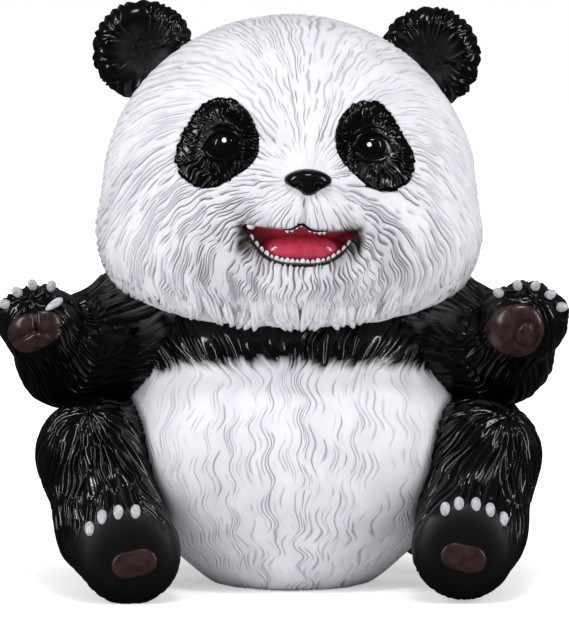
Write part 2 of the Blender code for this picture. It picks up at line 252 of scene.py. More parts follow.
@dataclass
class Anatomy:
    """Sizes of the figure's smooth form without its fur, the same as those of the casting.

    The lower lip hangs by the mouth's drop times its stretch.
    """

    head_middle: tuple = (0, -6, 135)
    dome_radii: tuple = (64, 54, 61)
    cheek_spread: float = 26.5
    cheek_height: float = 118.5
    cheek_radii: tuple = (38, 42, 25.5)
    muzzle_middle: tuple = (4.6, -44, 133)
    muzzle_radii: tuple = (24, 22, 17)
    chin_middle: tuple = (4.4, -43, 111.5)
    chin_radii: tuple = (23, 17.5, 12)
    jaw_level: float = 92.2
    jaw_rounding: float = 4.0
    head_turn: Array = field(default_factory=lambda: turn_about(2, 4.5) @ turn_about(1, 1.5))
    eyes: tuple = ((-21.5, 153.5), (27.3, 152.8))
    mouth_middle: tuple = (3.9, -63, 124.6)
    mouth_half_width: float = 19.5
    mouth_lip: float = 3.0
    mouth_drop: float = 9.6
    mouth_stretch: float = 1.38
    ears: tuple = ((-49.9, -3, 183.6), (48.2, -3, 181.2))
    ear_radii: tuple = (16.3, 7.2, 16.3)
    ear_cup_radii: tuple = (11.0, 6.2, 11.0)
    belly_middle: tuple = (1, 1, 47)
    belly_radii: tuple = (60, 48, 49)
    seat_middle: tuple = (1, 3, 13)
    seat_radii: tuple = (31, 32, 19)
    chest_middle: tuple = (0, 6, 84)
    chest_radii: tuple = (54, 41, 21)
    tail_middle: tuple = (0, 47, 17)
    tail_radii: tuple = (12, 9, 10)
    band_edge: float = 80.5
    shoulders: tuple = ((-48, 6, 88), (48, 6, 88))
    elbows: tuple = ((-76.5, -3, 79), (73.5, -3, 80))
    wrists: tuple = ((-82, -15, 86), (77, -15, 87))
    paws: tuple = ((-84.6, -24, 93.5), (79.8, -24, 94))
    shoulder_radius: float = 24.5
    elbow_radius: float = 16.5
    wrist_radius: float = 12.8
    paw_radii: tuple = ((14.2, 10.5, 12.6), (14.6, 10.5, 13.6))
    palms: tuple = ((-85.5, -33.2, 89.5), (77.4, -33.2, 89.5))
    hips: tuple = ((-49, 8, 37), (49, 8, 37))
    knees: tuple = ((-66.4, -18, 46.5), (66.2, -18, 46.5))
    ankles: tuple = ((-60.0, -32, 24), (61.8, -32, 24))
    feet: tuple = ((-53.4, -46, 16.7), (58.2, -46, 18.5))
    hip_radius: float = 29.0
    knee_radius: float = 18.2
    ankle_radius: float = 17.8
    foot_radius: float = 17.0
    sole_depth: float = -54.5
    sole_rounding: float = 8.0
    sole_pads: tuple = ((-51.3, 14.6), (57.8, 16.6))

    def skull(self, points: Array) -> Array:
        """The head without ears or mouth: dome, cheeks, muzzle and chin.

        Args:
            points: Where to measure.

        Returns:
            The distances, negative inside.
        """
        form = ball(points, self.head_middle, self.dome_radii, self.head_turn)
        for side in (-1, 1):
            cheek = (side * self.cheek_spread, self.head_middle[1] - 4, self.cheek_height)
            form = fuse(form, ball(points, cheek, self.cheek_radii), 10)
        form = fuse(form, ball(points, self.muzzle_middle, self.muzzle_radii, self.head_turn), 9)
        form = fuse(form, ball(points, self.chin_middle, self.chin_radii, self.head_turn), 8)
        jaw = self.jaw_level + 4.5 * np.minimum(np.abs(points[:, 0] - 2) / 45, 1.4) ** 2.5
        return -fuse(-form, points[:, 2] - jaw, self.jaw_rounding)

    def lips(self, across: Array) -> tuple[Array, Array]:
        """Heights of both lips over the mouth's middle.

        Args:
            across: Place between the mouth's corners, from -1 to 1.

        Returns:
            The upper lip's heights and the lower one's.
        """
        smile = 1 - across**2
        peak = 2.3 * np.exp(-((across / 0.13) ** 2))
        upper = self.mouth_lip - 1.5 * smile - 1.4 * smooth_step(across, 0.1, 1.0) + peak
        full = 1 - np.abs(across) ** 3.2
        drop = self.mouth_drop * self.mouth_stretch * full
        lower = self.mouth_lip - drop - 1.0 * smooth_step(across, 0.6, 1.0)
        return upper, lower

    def ear(self, points: Array, side: Side) -> Array:
        """One ear: a thick disc with a cupped front.

        Args:
            points: Where to measure.
            side: Which ear.

        Returns:
            The distances, negative inside.
        """
        centre = self.ears[side.value]
        cup = (centre[0], centre[1] - self.ear_radii[1], centre[2])
        return hollow(ball(points, centre, self.ear_radii), ball(points, cup, self.ear_cup_radii), 3.0)

    def trunk(self, points: Array) -> Array:
        """Belly, seat, chest and tail, level at the floor.

        Args:
            points: Where to measure.

        Returns:
            The distances, negative inside.
        """
        form = fuse(ball(points, self.belly_middle, self.belly_radii),
                    ball(points, self.chest_middle, self.chest_radii), 9)
        form = fuse(form, ball(points, self.seat_middle, self.seat_radii), 12)
        form = fuse(form, ball(points, self.tail_middle, self.tail_radii), 5)
        return np.maximum(form, -STANCE[2] - points[:, 2])

    def arm(self, points: Array, side: Side) -> Array:
        """One front leg, raised.

        Args:
            points: Where to measure.
            side: Which one.

        Returns:
            The distances, negative inside.
        """
        i = side.value
        form = limb(points, self.shoulders[i], self.elbows[i], self.shoulder_radius, self.elbow_radius)
        form = fuse(form, limb(points, self.elbows[i], self.wrists[i], self.elbow_radius,
                               self.wrist_radius), 5)
        return fuse(form, ball(points, self.paws[i], self.paw_radii[i]), 6)

    def leg(self, points: Array, side: Side) -> Array:
        """One hind leg, its sole to the front.

        Args:
            points: Where to measure.
            side: Which one.

        Returns:
            The distances, negative inside.
        """
        i = side.value
        form = limb(points, self.hips[i], self.knees[i], self.hip_radius, self.knee_radius)
        form = fuse(form, limb(points, self.knees[i], self.ankles[i], self.knee_radius,
                               self.ankle_radius), 5)
        form = fuse(form, limb(points, self.ankles[i], self.feet[i], self.ankle_radius,
                               self.foot_radius), 4)
        form = -fuse(-form, points[:, 1] - self.sole_depth, self.sole_rounding)
        return np.maximum(form, -STANCE[2] - points[:, 2])


# Finishes

def linear(code: str) -> tuple[float, float, float, float]:
    """An sRGB hex colour such as F3F2F5, as linear red, green, blue and alpha."""
    parts = [int(code[start:start + 2], 16) / 255 for start in (0, 2, 4)]
    return tuple(p / 12.92 if p <= 0.04045 else ((p + 0.055) / 1.055) ** 2.4 for p in parts) + (1.0,)


def add_node(tree: bpy.types.NodeTree, kind: str, settings: dict | None = None,
             **links: object) -> bpy.types.Node:
    """Adds a node to a tree.

    Args:
        tree: The material's or modifier's node tree.
        kind: The node's type name.
        settings: Values for the node's own properties.
        links: For each input, by name or by i and its number, an output to link or a value to set.

    Returns:
        The new node.
    """
    node = tree.nodes.new(kind)
    for name, value in (settings or {}).items():
        setattr(node, name, value)
    for name, value in links.items():
        number = name[1:]
        socket = node.inputs[int(number)] if number.isdigit() else node.inputs[name.replace("_", " ")]
        if isinstance(value, bpy.types.NodeSocket):
            tree.links.new(value, socket)
        else:
            socket.default_value = value
    return node


@dataclass(frozen=True)
class Coat:
    """A brushed or sprayed acrylic lacquer over cast resin.

    White is satin, greyed by painted shade in its grooves, and takes thin dark brown washes along paint
    edges and as painted shade by the mouth and where parts meet; black is glossy and catches a sharp
    light along each strand. The fine bump is the paint's own skin, too thin to carve.
    """

    name: str
    white: str = "EEECF2"
    cloudy: str = "E2DFE8"
    # Painted shade: the grey that the white takes deep in its grooves
    groove: str = "7F7A88"
    black: str = "050506"
    # Dark brown for the washes along paint edges, and for painted shade by the mouth and where parts meet
    wash_and_shade: str = "2E2422"
    mouth: str = "B23A4E"
    groove_shade_share: float = 0.82
    white_roughness: float = 0.40
    black_roughness: float = 0.13
    matt_more: float = 0.4
    cloud_mm: float = 9.0
    skin_mm: float = 1.3
    bump: float = 0.10
    specular: float = 0.28

    def build(self, unit_m: float) -> bpy.types.Material:
        """Makes the material.

        Args:
            unit_m: Metres in one figurine millimetre, for the patterns' scale.

        Returns:
            The finished material.
        """
        material = bpy.data.materials.new(self.name)
        material.use_nodes = True
        tree = material.node_tree
        tree.nodes.clear()

        def layer(name: str) -> bpy.types.NodeSocket:
            """The value of one of the mesh's own paint layers."""
            return add_node(tree, "ShaderNodeAttribute", {"attribute_name": name}).outputs["Fac"]

        place = add_node(tree, "ShaderNodeTexCoord").outputs["Object"]
        cloud = add_node(tree, "ShaderNodeTexNoise", Vector=place, Scale=1 / (self.cloud_mm * unit_m),
                         Detail=3.0)
        soft = add_node(tree, "ShaderNodeMapRange", Value=cloud.outputs["Fac"], From_Min=0.35,
                        From_Max=0.7)
        tone = add_node(tree, "ShaderNodeMix", {"data_type": "RGBA"}, i0=soft.outputs["Result"],
                        i6=linear(self.white), i7=linear(self.cloudy))
        # Painted shade: grey mixed into the white by how deep each point lies in a groove
        groove_shade = add_node(tree, "ShaderNodeMath", {"operation": "MULTIPLY"}, i0=layer("groove"),
                        i1=self.groove_shade_share)
        pale = add_node(tree, "ShaderNodeMix", {"data_type": "RGBA"}, i0=groove_shade.outputs[0],
                        i6=tone.outputs[2], i7=linear(self.groove))
        # Washes along paint edges, with painted shade by the mouth's corners and where parts meet
        washed_and_shaded = add_node(tree, "ShaderNodeMix", {"data_type": "RGBA"}, i0=layer("wash_and_shade"),
                        i6=pale.outputs[2], i7=linear(self.wash_and_shade))
        paint = add_node(tree, "ShaderNodeMix", {"data_type": "RGBA"}, i0=layer("black"),
                         i6=washed_and_shaded.outputs[2], i7=linear(self.black))
        paint = add_node(tree, "ShaderNodeMix", {"data_type": "RGBA"}, i0=layer("mouth"),
                         i6=paint.outputs[2], i7=linear(self.mouth))
        gloss = add_node(tree, "ShaderNodeMapRange", Value=layer("black"),
                         To_Min=self.white_roughness, To_Max=self.black_roughness)
        rough = add_node(tree, "ShaderNodeMath", {"operation": "MULTIPLY_ADD"}, i0=layer("matt"),
                         i1=self.matt_more, i2=gloss.outputs["Result"])
        skin = add_node(tree, "ShaderNodeTexNoise", Vector=place, Scale=1 / (self.skin_mm * unit_m),
                        Detail=2.0)
        bump = add_node(tree, "ShaderNodeBump", Strength=self.bump, Distance=0.3 * unit_m,
                        Height=skin.outputs["Fac"])
        shader = add_node(tree, "ShaderNodeBsdfPrincipled", Base_Color=paint.outputs[2],
                          Roughness=rough.outputs[0], Normal=bump.outputs["Normal"])
        shader.inputs["Specular IOR Level"].default_value = self.specular
        add_node(tree, "ShaderNodeOutputMaterial", Surface=shader.outputs[0])
        return material


@dataclass(frozen=True)
class Enamel:
    """One brushed-on paint with a soft mottle, for claws, pads, nose, eyes, teeth and mouth."""

    name: str
    colour: str
    shade: str
    roughness: float
    mottle_mm: float = 3.0
    bump: float = 0.12
    specular: float = 0.3

    def build(self, unit_m: float) -> bpy.types.Material:
        """Makes the material.

        Args:
            unit_m: Metres in one figurine millimetre, for the pattern's scale.

        Returns:
            The finished material.
        """
        material = bpy.data.materials.new(self.name)
        material.use_nodes = True
        tree = material.node_tree
        tree.nodes.clear()
        place = add_node(tree, "ShaderNodeTexCoord").outputs["Object"]
        mottle = add_node(tree, "ShaderNodeTexNoise", Vector=place, Scale=1 / (self.mottle_mm * unit_m),
                          Detail=3.0)
        soft = add_node(tree, "ShaderNodeMapRange", Value=mottle.outputs["Fac"], From_Min=0.35,
                        From_Max=0.7)
        tone = add_node(tree, "ShaderNodeMix", {"data_type": "RGBA"}, i0=soft.outputs["Result"],
                        i6=linear(self.colour), i7=linear(self.shade))
        bump = add_node(tree, "ShaderNodeBump", Strength=self.bump, Distance=0.2 * unit_m,
                        Height=mottle.outputs["Fac"])
        shader = add_node(tree, "ShaderNodeBsdfPrincipled", Base_Color=tone.outputs[2],
                          Roughness=self.roughness, Normal=bump.outputs["Normal"])
        shader.inputs["Specular IOR Level"].default_value = self.specular
        add_node(tree, "ShaderNodeOutputMaterial", Surface=shader.outputs[0])
        return material


# Fur nets

@dataclass
class Comb:
    """How the fur of one part is carved.

    Pitch is the distance between strands, depth that of the grooves, and width a groove's share of the
    pitch. Wave and wave_length bend the strands, stray parts them, gaps and run break the grooves, crown
    rounds each strand, and lock raises tufts of several.
    """

    pitch: float = 1.5
    depth: float = 0.42
    columns: int = 4
    fewest: int = 8
    wave: float = 0.9
    wave_length: float = 12.0
    gaps: float = 0.3
    run: float = 9.0
    width: float = 0.40
    stray: float = 0.30
    jitter: float = 0.35
    crown: float = 0.28
    lock: float = 0.5
    lock_run: float = 11.0
    lock_cells: float = 6.0
    seed: int = 1

    def edges(self, level: int) -> Array:
        """Angles of the grooves round a ring.

        Args:
            level: How often the fewest strands are doubled.

        Returns:
            The angles, the first one again at the end.
        """
        count = self.fewest
        nudges = scatter(np.mod(np.arange(count + 1), count), self.seed) - 0.5
        turns = np.arange(count + 1) + self.jitter * nudges
        for step in range(level):
            middle = (turns[1:] + turns[:-1]) / 2
            nudge = self.jitter * (scatter(np.arange(len(middle)), self.seed + 7 * step + 3) - 0.5)
            middle = middle + nudge * (turns[1:] - turns[:-1])
            joined = np.empty(2 * len(middle) + 1)
            joined[0::2], joined[1::2] = turns, middle
            turns = joined
        return turns * (2 * math.pi / count)


@dataclass
class Ring:
    """Where one ring of a net is looked for: out of a centre, on a cone about the way the fur runs."""

    centre: Array
    across: Array
    over: Array
    ahead: Array
    tilt: float
    travel: float


def round_rings(centre: Sequence[float], hub: Sequence[float], radius: float,
                steps: Sequence[tuple[float, float]], over: Sequence[float] = (0, 0, 1)) -> list[Ring]:
    """Rings of a ball-like part, from the hub that its fur fans out of to the far side.

    Args:
        centre: Middle of the part.
        hub: Direction from the middle to where the fur starts.
        radius: About how far the skin is, to turn steps into angles.
        steps: Travel up to which each distance between rings holds, and that distance.
        over: Direction that a quarter turn round a ring points to.

    Returns:
        The rings, hub first, without the two poles.
    """
    ahead = -unit(hub)
    if abs(unit(over) @ ahead) >= 0.99:
        over = (0, 1, 0)
    across = unit(np.cross(over, ahead))
    up = np.cross(ahead, across)
    travel, rings = 0.0, []
    while True:
        travel += next((step for limit, step in steps if travel < limit), steps[-1][1])
        if travel > math.pi * radius - 0.6:
            return rings
        angle = travel / radius - math.pi / 2
        rings.append(Ring(np.asarray(centre, float), -across, up, ahead, angle, travel))


def limb_rings(knots: Sequence[Sequence[float]], first: float, last: float, step: float,
               over: Sequence[float]) -> list[Ring]:
    """Rings of a bent limb: a round start, a smooth run through its knots, and a round end.

    Args:
        knots: The middle line, from the body outwards.
        first: Radius at the start.
        last: Radius at the end.
        step: Distance between rings.
        over: A direction that is never along the limb.

    Returns:
        The rings from the start to the end, without the two poles.
    """
    knots = smoothed(np.asarray(knots, float))
    length = np.linalg.norm(np.diff(knots, axis=0), axis=1).sum()
    line = evenly(knots, max(4, round(length / step)) + 1)
    spots = np.linspace(0, length, len(line))
    ways = np.gradient(line, axis=0)
    rings = []
    caps = [(line[0], ways[0], first, -1), (line[-1], ways[-1], last, 1)]
    for place, way, radius, end in caps:
        turns = max(3, round(math.pi / 2 * radius / step))
        angles = np.arange(1, turns) / turns * math.pi / 2
        for angle in (-angles[::-1] if end < 0 else angles):
            base = first * math.pi / 2 + (0 if end < 0 else length)
            rings.append((place, way, angle, base + radius * angle))
        if end < 0:
            rings += [(spot, along, 0.0, first * math.pi / 2 + far)
                      for spot, along, far in zip(line, ways, spots)]
    made = []
    for place, way, angle, travel in rings:
        ahead = unit(way)
        across = unit(np.cross(over, ahead))
        made.append(Ring(place, -across, np.cross(ahead, across), ahead, angle, travel))
    return made


@dataclass
class Relief:
    """A finished net: its points, how deep each lies in a groove, and what the paint needs."""

    points: Array
    normals: Array
    groove: Array
    travel: Array
    line: Array
    faces: list

    def black(self, matt: Array | None = None) -> dict[str, Array]:
        """Paint layers of a part that is black all over, less glossy where matt is high."""
        layers = {"groove": self.groove, "black": np.ones(len(self.points))}
        return layers if matt is None else layers | {"matt": matt}


def march(form: Form, origin: Array, way: Array, steps: int = 34) -> Array:
    """Distance from inside a form out to its skin.

    Args:
        form: Distance function, negative inside.
        origin: Start points, inside.
        way: Unit directions.
        steps: How often the distance is corrected.

    Returns:
        How far the skin is along each direction.
    """
    reach = np.full(len(origin), 1.0)
    open_rays = np.arange(len(origin))
    for _ in range(steps):
        gap = form(origin[open_rays] + way[open_rays] * reach[open_rays, None])
        reach[open_rays] -= 0.92 * gap
        open_rays = open_rays[np.abs(gap) > 0.004]
        if not len(open_rays):
            break
    return reach


def slope(form: Form, points: Array, step: float = 0.35) -> Array:
    """Outward unit normals of a form.

    Args:
        form: Distance function, negative inside.
        points: Places on or near its skin.
        step: How far from each the form is sampled.

    Returns:
        The normals.
    """
    corners = np.array([(1, -1, -1), (-1, -1, 1), (-1, 1, -1), (1, 1, 1)], float)
    total = sum(corner * form(points + corner * step)[:, None] for corner in corners)
    return total / np.maximum(np.linalg.norm(total, axis=1), 1e-9)[:, None]


def fur_net(form: Form, rings: list[Ring], comb: Comb, bend: Callable[[Array, Array], Array] | None = None,
            calm: Form | None = None, sway_share: Callable[[Array, Array], Array] | None = None) -> Relief:
    """Closed net over a form with the comb's grooves carved along its columns.

    Args:
        form: Smooth form, negative inside.
        rings: Where its rings are looked for.
        comb: How the fur is carved.
        bend: Extra turn of a column, from its angle and its travel.
        calm: Share of the depth kept at each point, for bare or smooth places.
        sway_share: Share of the wave kept, from a column's angle and its travel.

    Returns:
        The relief, its points already carved.
    """
    centres = np.array([ring.centre for ring in rings])
    across = np.array([ring.across for ring in rings])
    over = np.array([ring.over for ring in rings])
    ahead = np.array([ring.ahead for ring in rings])
    tilt = np.array([ring.tilt for ring in rings])
    travel = np.array([ring.travel for ring in rings])

    def ways(row: Array, angle: Array) -> Array:
        """Directions from the rings' centres at given angles."""
        round_way = across[row] * np.cos(angle)[:, None] + over[row] * np.sin(angle)[:, None]
        return round_way * np.cos(tilt[row])[:, None] + ahead[row] * np.sin(tilt[row])[:, None]

    probe = 40
    row = np.repeat(np.arange(len(rings)), probe)
    angle = np.tile(np.arange(probe) * 2 * math.pi / probe, len(rings))
    reach = march(form, centres[row], ways(row, angle)).reshape(-1, probe)
    girth = 2 * math.pi * reach.mean(axis=1) * np.cos(tilt)
    level = np.round(np.log2(np.maximum(girth / (comb.pitch * comb.fewest), 1.0)) + 0.22).astype(int)
    level = np.minimum(np.maximum.accumulate(level), np.maximum.accumulate(level[::-1])[::-1])
    for _ in range(12):
        level[1:] = np.minimum(level[1:], level[:-1] + 1)
        level[:-1] = np.minimum(level[:-1], level[1:] + 1)

    rows, angles, carve, lines = [], [], [], []
    shapes = np.arange(comb.columns) / comb.columns
    for number, k in enumerate(level):
        edges = comb.edges(k)
        strands = len(edges) - 1
        where = travel[number]
        born = np.full(strands, k)
        for back in range(1, k + 1):
            born[np.arange(strands) % (1 << back) == 0] = k - back
        room = girth[number] / (comb.fewest * (1 << born)) / comb.pitch
        room = room * (0.8 + 0.5 * scatter(np.round(edges[:-1] * 977), comb.seed))
        fade = np.where(born > 0, smooth_step(room, 0.55, 0.9), 1.0)
        key = edges[:-1] * comb.fewest * (1 << level.max()) / (2 * math.pi)
        patchy = 0.6 * drift(key * 0.33, np.full(strands, where / comb.run / 1.7), comb.seed + 11)
        patchy = patchy + drift(key + 0.5, where / comb.run + 7 * scatter(key, 3), comb.seed + 23)
        keep = smooth_step(patchy, -1.2 + 1.6 * comb.gaps, -0.55 + 1.6 * comb.gaps)
        mark = fade * keep * (0.6 + 0.4 * scatter(np.round(edges[:-1] * 977), comb.seed + 2))
        following = np.roll(mark, -1)
        left = np.clip(1 - shapes / comb.width, 0, 1) ** 1.2
        right = np.clip(1 - (1 - shapes) / comb.width, 0, 1) ** 1.2
        cut = mark[:, None] * left + following[:, None] * right
        crown = comb.crown * np.sin(math.pi * shapes) * np.minimum(mark, following)[:, None]
        tuft_up = np.sin(edges[:-1]) * comb.lock_cells + where / comb.lock_run
        lump = comb.lock * drift(np.cos(edges[:-1]) * comb.lock_cells + 9, tuft_up, comb.seed + 61)
        lump = lump[:, None] * (1 - shapes) + np.roll(lump, -1)[:, None] * shapes
        stray = comb.stray * drift(key * 0.77, np.full(strands, where / comb.run * 1.1), comb.seed + 51)
        place = edges[:-1] + stray * (2 * math.pi / strands)
        following_place = np.roll(place, -1)
        following_place[-1] += 2 * math.pi
        spread = place[:, None] + (following_place - place)[:, None] * shapes
        rows.append(np.full(strands * comb.columns, number))
        angles.append(spread.ravel())
        carve.append((crown + lump - cut).ravel())
        lines.append((key[:, None] + shapes * (key[1] - key[0])).ravel())
    row, angle = np.concatenate(rows), np.concatenate(angles)
    height, line = np.concatenate(carve), np.concatenate(lines)
    where = travel[row]
    radius = np.maximum(girth[row] / (2 * math.pi), 2.0)
    phase = drift(np.cos(angle) * 2.3 + 5, np.sin(angle) * 2.3 + where / 34, comb.seed + 31)
    sway = comb.wave * np.sin(2 * math.pi * where / comb.wave_length + 5.5 * phase)
    slow = drift(np.cos(angle) * 4 + where / 17, np.sin(angle) * 4, comb.seed + 41)
    sway = sway + 1.1 * comb.wave * slow
    if sway_share is not None:
        sway = sway * sway_share(angle, where)
    turned = angle + sway / radius * smooth_step(where, 2, 14)
    if bend is not None:
        turned = turned + bend(angle, where)
    way = ways(row, turned)
    points = centres[row] + way * march(form, centres[row], way)[:, None]
    normals = slope(form, points)
    share = np.ones(len(points)) if calm is None else calm(points)
    points = points + normals * (comb.depth * height * share)[:, None]
    points[:, 2] = np.maximum(points[:, 2], -STANCE[2])

    counts = np.array([comb.fewest * (1 << k) * comb.columns for k in level])
    offsets = np.concatenate([[0], np.cumsum(counts)])
    faces = []
    for i in range(len(rings) - 1):
        n, m = counts[i], counts[i + 1]
        if n == m:
            a = offsets[i] + np.arange(n)
            b = offsets[i + 1] + np.arange(n)
            faces.append(np.stack([a, np.roll(a, -1), np.roll(b, -1), b], axis=1))
            continue
        small, large, flip = (i, i + 1, False) if n < m else (i + 1, i, True)
        count = counts[small]
        a = offsets[small] + np.arange(count)
        b = offsets[large] + np.arange(2 * count)
        a_next = np.roll(a, -1)
        even, odd = b[0::2], b[1::2]
        even_next = np.roll(even, -1)
        for tri in ((a, odd, even), (a, a_next, odd), (a_next, even_next, odd)):
            tri = np.stack(tri, axis=1)
            faces.append(tri[:, ::-1] if flip else tri)
    poles = []
    for end in (0, -1):
        loop = (offsets[0] if end == 0 else offsets[-2]) + np.arange(counts[end])
        poles.append(points[loop].mean(axis=0))
        tip = np.full(counts[end], len(points) + len(poles) - 1)
        fan = np.stack([np.roll(loop, -1), loop, tip], axis=1)
        faces.append(fan if end == 0 else fan[:, ::-1])
    points = np.concatenate([points, poles])
    ends_normals = np.array([-ahead[0], ahead[-1]])
    pad = np.zeros(2)
    return Relief(points, np.concatenate([normals, ends_normals]),
                  np.concatenate([np.clip(-height, 0, 1) * share, pad]),
                  np.concatenate([where, [travel[0], travel[-1]]]), np.concatenate([line, pad]), faces)


def grid_faces(rows: int, columns: int, count: int) -> list[Array]:
    """Faces of a closed net of equal rings with a pole at each end.

    Args:
        rows: Number of rings.
        columns: Points in a ring.
        count: Points before the first pole, which both poles follow.

    Returns:
        Quads between the rings and the triangles of both fans.
    """
    first = np.arange(rows - 1)[:, None] * columns + np.arange(columns)
    following = np.arange(rows - 1)[:, None] * columns + (np.arange(columns) + 1) % columns
    quads = np.stack([first, following, following + columns, first + columns], axis=2).reshape(-1, 4)
    loop, after = np.arange(columns), (np.arange(columns) + 1) % columns
    start = np.stack([after, loop, np.full(columns, count)], axis=1)
    base = (rows - 1) * columns
    end = np.stack([loop + base, after + base, np.full(columns, count + 1)], axis=1)
    return [quads, start, end]


def smooth_net(form: Form, centre: Sequence[float], hub: Sequence[float], rows: int,
               columns: int) -> tuple[Array, list[Array]]:
    """Closed smooth net over a ball-like form, for bare parts.

    Args:
        form: The form, negative inside, that its centre sees all of.
        centre: Where every point is looked for from.
        hub: Direction of the first pole.
        rows: Number of rings.
        columns: Points in a ring.

    Returns:
        Points and faces.
    """
    ahead = -unit(hub)
    across = unit(np.cross((0.1, 0.3, 1), ahead))
    up = np.cross(ahead, across)
    tilt = np.repeat(-math.pi / 2 + math.pi * (np.arange(rows) + 1) / (rows + 1), columns)
    angle = np.tile(np.arange(columns) * 2 * math.pi / columns, rows)
    way = np.cos(tilt)[:, None] * (across * -np.cos(angle)[:, None] + up * np.sin(angle)[:, None])
    way = np.concatenate([way + ahead * np.sin(tilt)[:, None], [-ahead, ahead]])
    origin = np.tile(np.asarray(centre, float), (len(way), 1))
    return origin + way * march(form, origin, way)[:, None], grid_faces(rows, columns, rows * columns)


def pressed(form: Form, spots: Array, start: float = -95.0) -> Array:
    """Points of a form's skin that face the front, at given places across and up.

    Args:
        form: Distance function, negative inside.
        spots: Places across and up.
        start: Where the search starts, in front of the figure.

    Returns:
        The points.
    """
    points = np.stack([spots[:, 0], np.full(len(spots), start), spots[:, 1]], axis=1)
    for _ in range(70):
        points[:, 1] += 0.85 * form(points)
    return points


def soft_outline(centre: Sequence[float], corners: Sequence[Sequence[float]], angles: Array) -> Array:
    """Distance from a centre to a smooth closed line round it.

    Args:
        centre: A spot inside.
        corners: Spots that the line passes near.
        angles: Where to give it.

    Returns:
        The distances at those angles.
    """
    offset = np.asarray(corners, float) - np.asarray(centre, float)
    turn, reach = np.arctan2(offset[:, 1], offset[:, 0]), np.linalg.norm(offset, axis=1)
    orders = range(1, 4)
    fit = [np.ones_like(turn)] + [wave(k * turn) for k in orders for wave in (np.cos, np.sin)]
    share = np.linalg.lstsq(np.stack(fit, axis=1), reach, rcond=1e-3)[0]
    parts = [np.ones_like(angles)] + [wave(k * angles) for k in orders for wave in (np.cos, np.sin)]
    return sum(value * part for value, part in zip(share, parts))


@dataclass
class Plaque:
    """A patch that lies on the figure's front: an eye's black field or a pad, closed at its back."""

    centre: tuple
    corners: tuple
    rise: float = 0.4
    crown: float = 0.0
    sink: float = 3.0
    rows: int = 26
    columns: int = 72
    comb_depth: float = 0.0
    strands: int = 40
    ragged: float = 0.0
    creases: tuple = ()
    crease_depth: float = 1.3
    crease_width: float = 0.75
    seed: int = 1

    def net(self, form: Form) -> Relief:
        """The patch as a closed net on a form.

        Args:
            form: What it lies on, negative inside.

        Returns:
            Its relief, with the grooves of a comb that runs out from the centre.
        """
        shares = np.concatenate([np.linspace(0.04, 0.93, self.rows - 4), [0.965, 0.99, 1.0, 1.0]])
        edge = [0.85, 0.45, -0.6, -self.sink / max(self.rise, 0.1)]
        lifts = np.concatenate([np.full(self.rows - 4, 1.0), edge])
        angle = np.arange(self.columns) * 2 * math.pi / self.columns
        reach = soft_outline(self.centre, self.corners, angle)
        rags = scatter(np.floor(np.arange(self.columns) / 3), self.seed) - 0.5
        reach = reach * (1 + self.ragged * rags)
        share, lift = np.repeat(shares, self.columns), np.repeat(lifts, self.columns)
        turn, far = np.tile(angle, self.rows), np.tile(reach, self.rows)
        strand = turn * self.strands / (2 * math.pi)
        sway = 0.8 * drift(strand * 0.15 + 7, share * 4.0, self.seed) * np.sin(share * 7)
        turned = turn + sway * (share < 0.93) * 0.5 * share
        ways = np.stack([np.cos(turned), np.sin(turned)], axis=1)
        spots = ways * (far * share)[:, None] + np.asarray(self.centre)
        points = pressed(form, spots)
        normals = slope(form, points)
        phase = strand - np.floor(strand)
        cut = np.clip(1 - np.minimum(phase, 1 - phase) / 0.34, 0, 1) ** 1.1
        fade = smooth_step(share, 0.38, 0.62)
        fade = fade * (0.25 + 0.75 * scatter(np.floor(strand + 0.5), self.seed))
        patchy = smooth_step(drift(strand, share * 9.0, self.seed + 4), -0.75, 0.0)
        notch = cut * fade * patchy * self.comb_depth * (lift > 0)
        dome = np.where(lift > 0, self.crown * np.sqrt(np.clip(1 - share**2, 0, 1)), 0)
        height = lift * self.rise + dome - notch
        for crease in self.creases:
            away = line_distance(spots, crease) / self.crease_width
            height = height - self.crease_depth * np.exp(-(away ** 2)) * (lift > 0)
        points = points + normals * height[:, None]
        back = pressed(form, np.asarray([self.centre], float)) + (0, self.sink, 0)
        points = np.concatenate([points, points[:self.columns].mean(axis=0)[None], back])
        groove = np.concatenate([notch / max(self.comb_depth, 1e-6), (0, 0)])
        faces = grid_faces(self.rows, self.columns, len(points) - 2)
        none = np.zeros(len(points))
        return Relief(points, none, groove, none, none, faces)


def tube(path: Array, radii: Array, columns: int = 12) -> tuple[Array, list[Array]]:
    """Closed round bead along a path, with a pole at each end.

    Args:
        path: Middle line.
        radii: Radius at each of its points.
        columns: Points round it.

    Returns:
        Points and faces.
    """
    ways = np.gradient(path, axis=0)
    ways = ways / np.linalg.norm(ways, axis=1)[:, None]
    side = np.cross(ways, (0, 1, 0))
    side = side / np.linalg.norm(side, axis=1)[:, None]
    up = np.cross(side, ways)
    angle = np.arange(columns) * 2 * math.pi / columns
    ring = side[:, None] * np.cos(angle)[None, :, None] + up[:, None] * np.sin(angle)[None, :, None]
    points = (path[:, None] + ring * radii[:, None, None]).reshape(-1, 3)
    ends = [path[0] - ways[0] * radii[0] * 0.5, path[-1] + ways[-1] * radii[-1] * 0.5]
    return np.concatenate([points, ends]), grid_faces(len(path), columns, len(points))


# Meshes and pieces

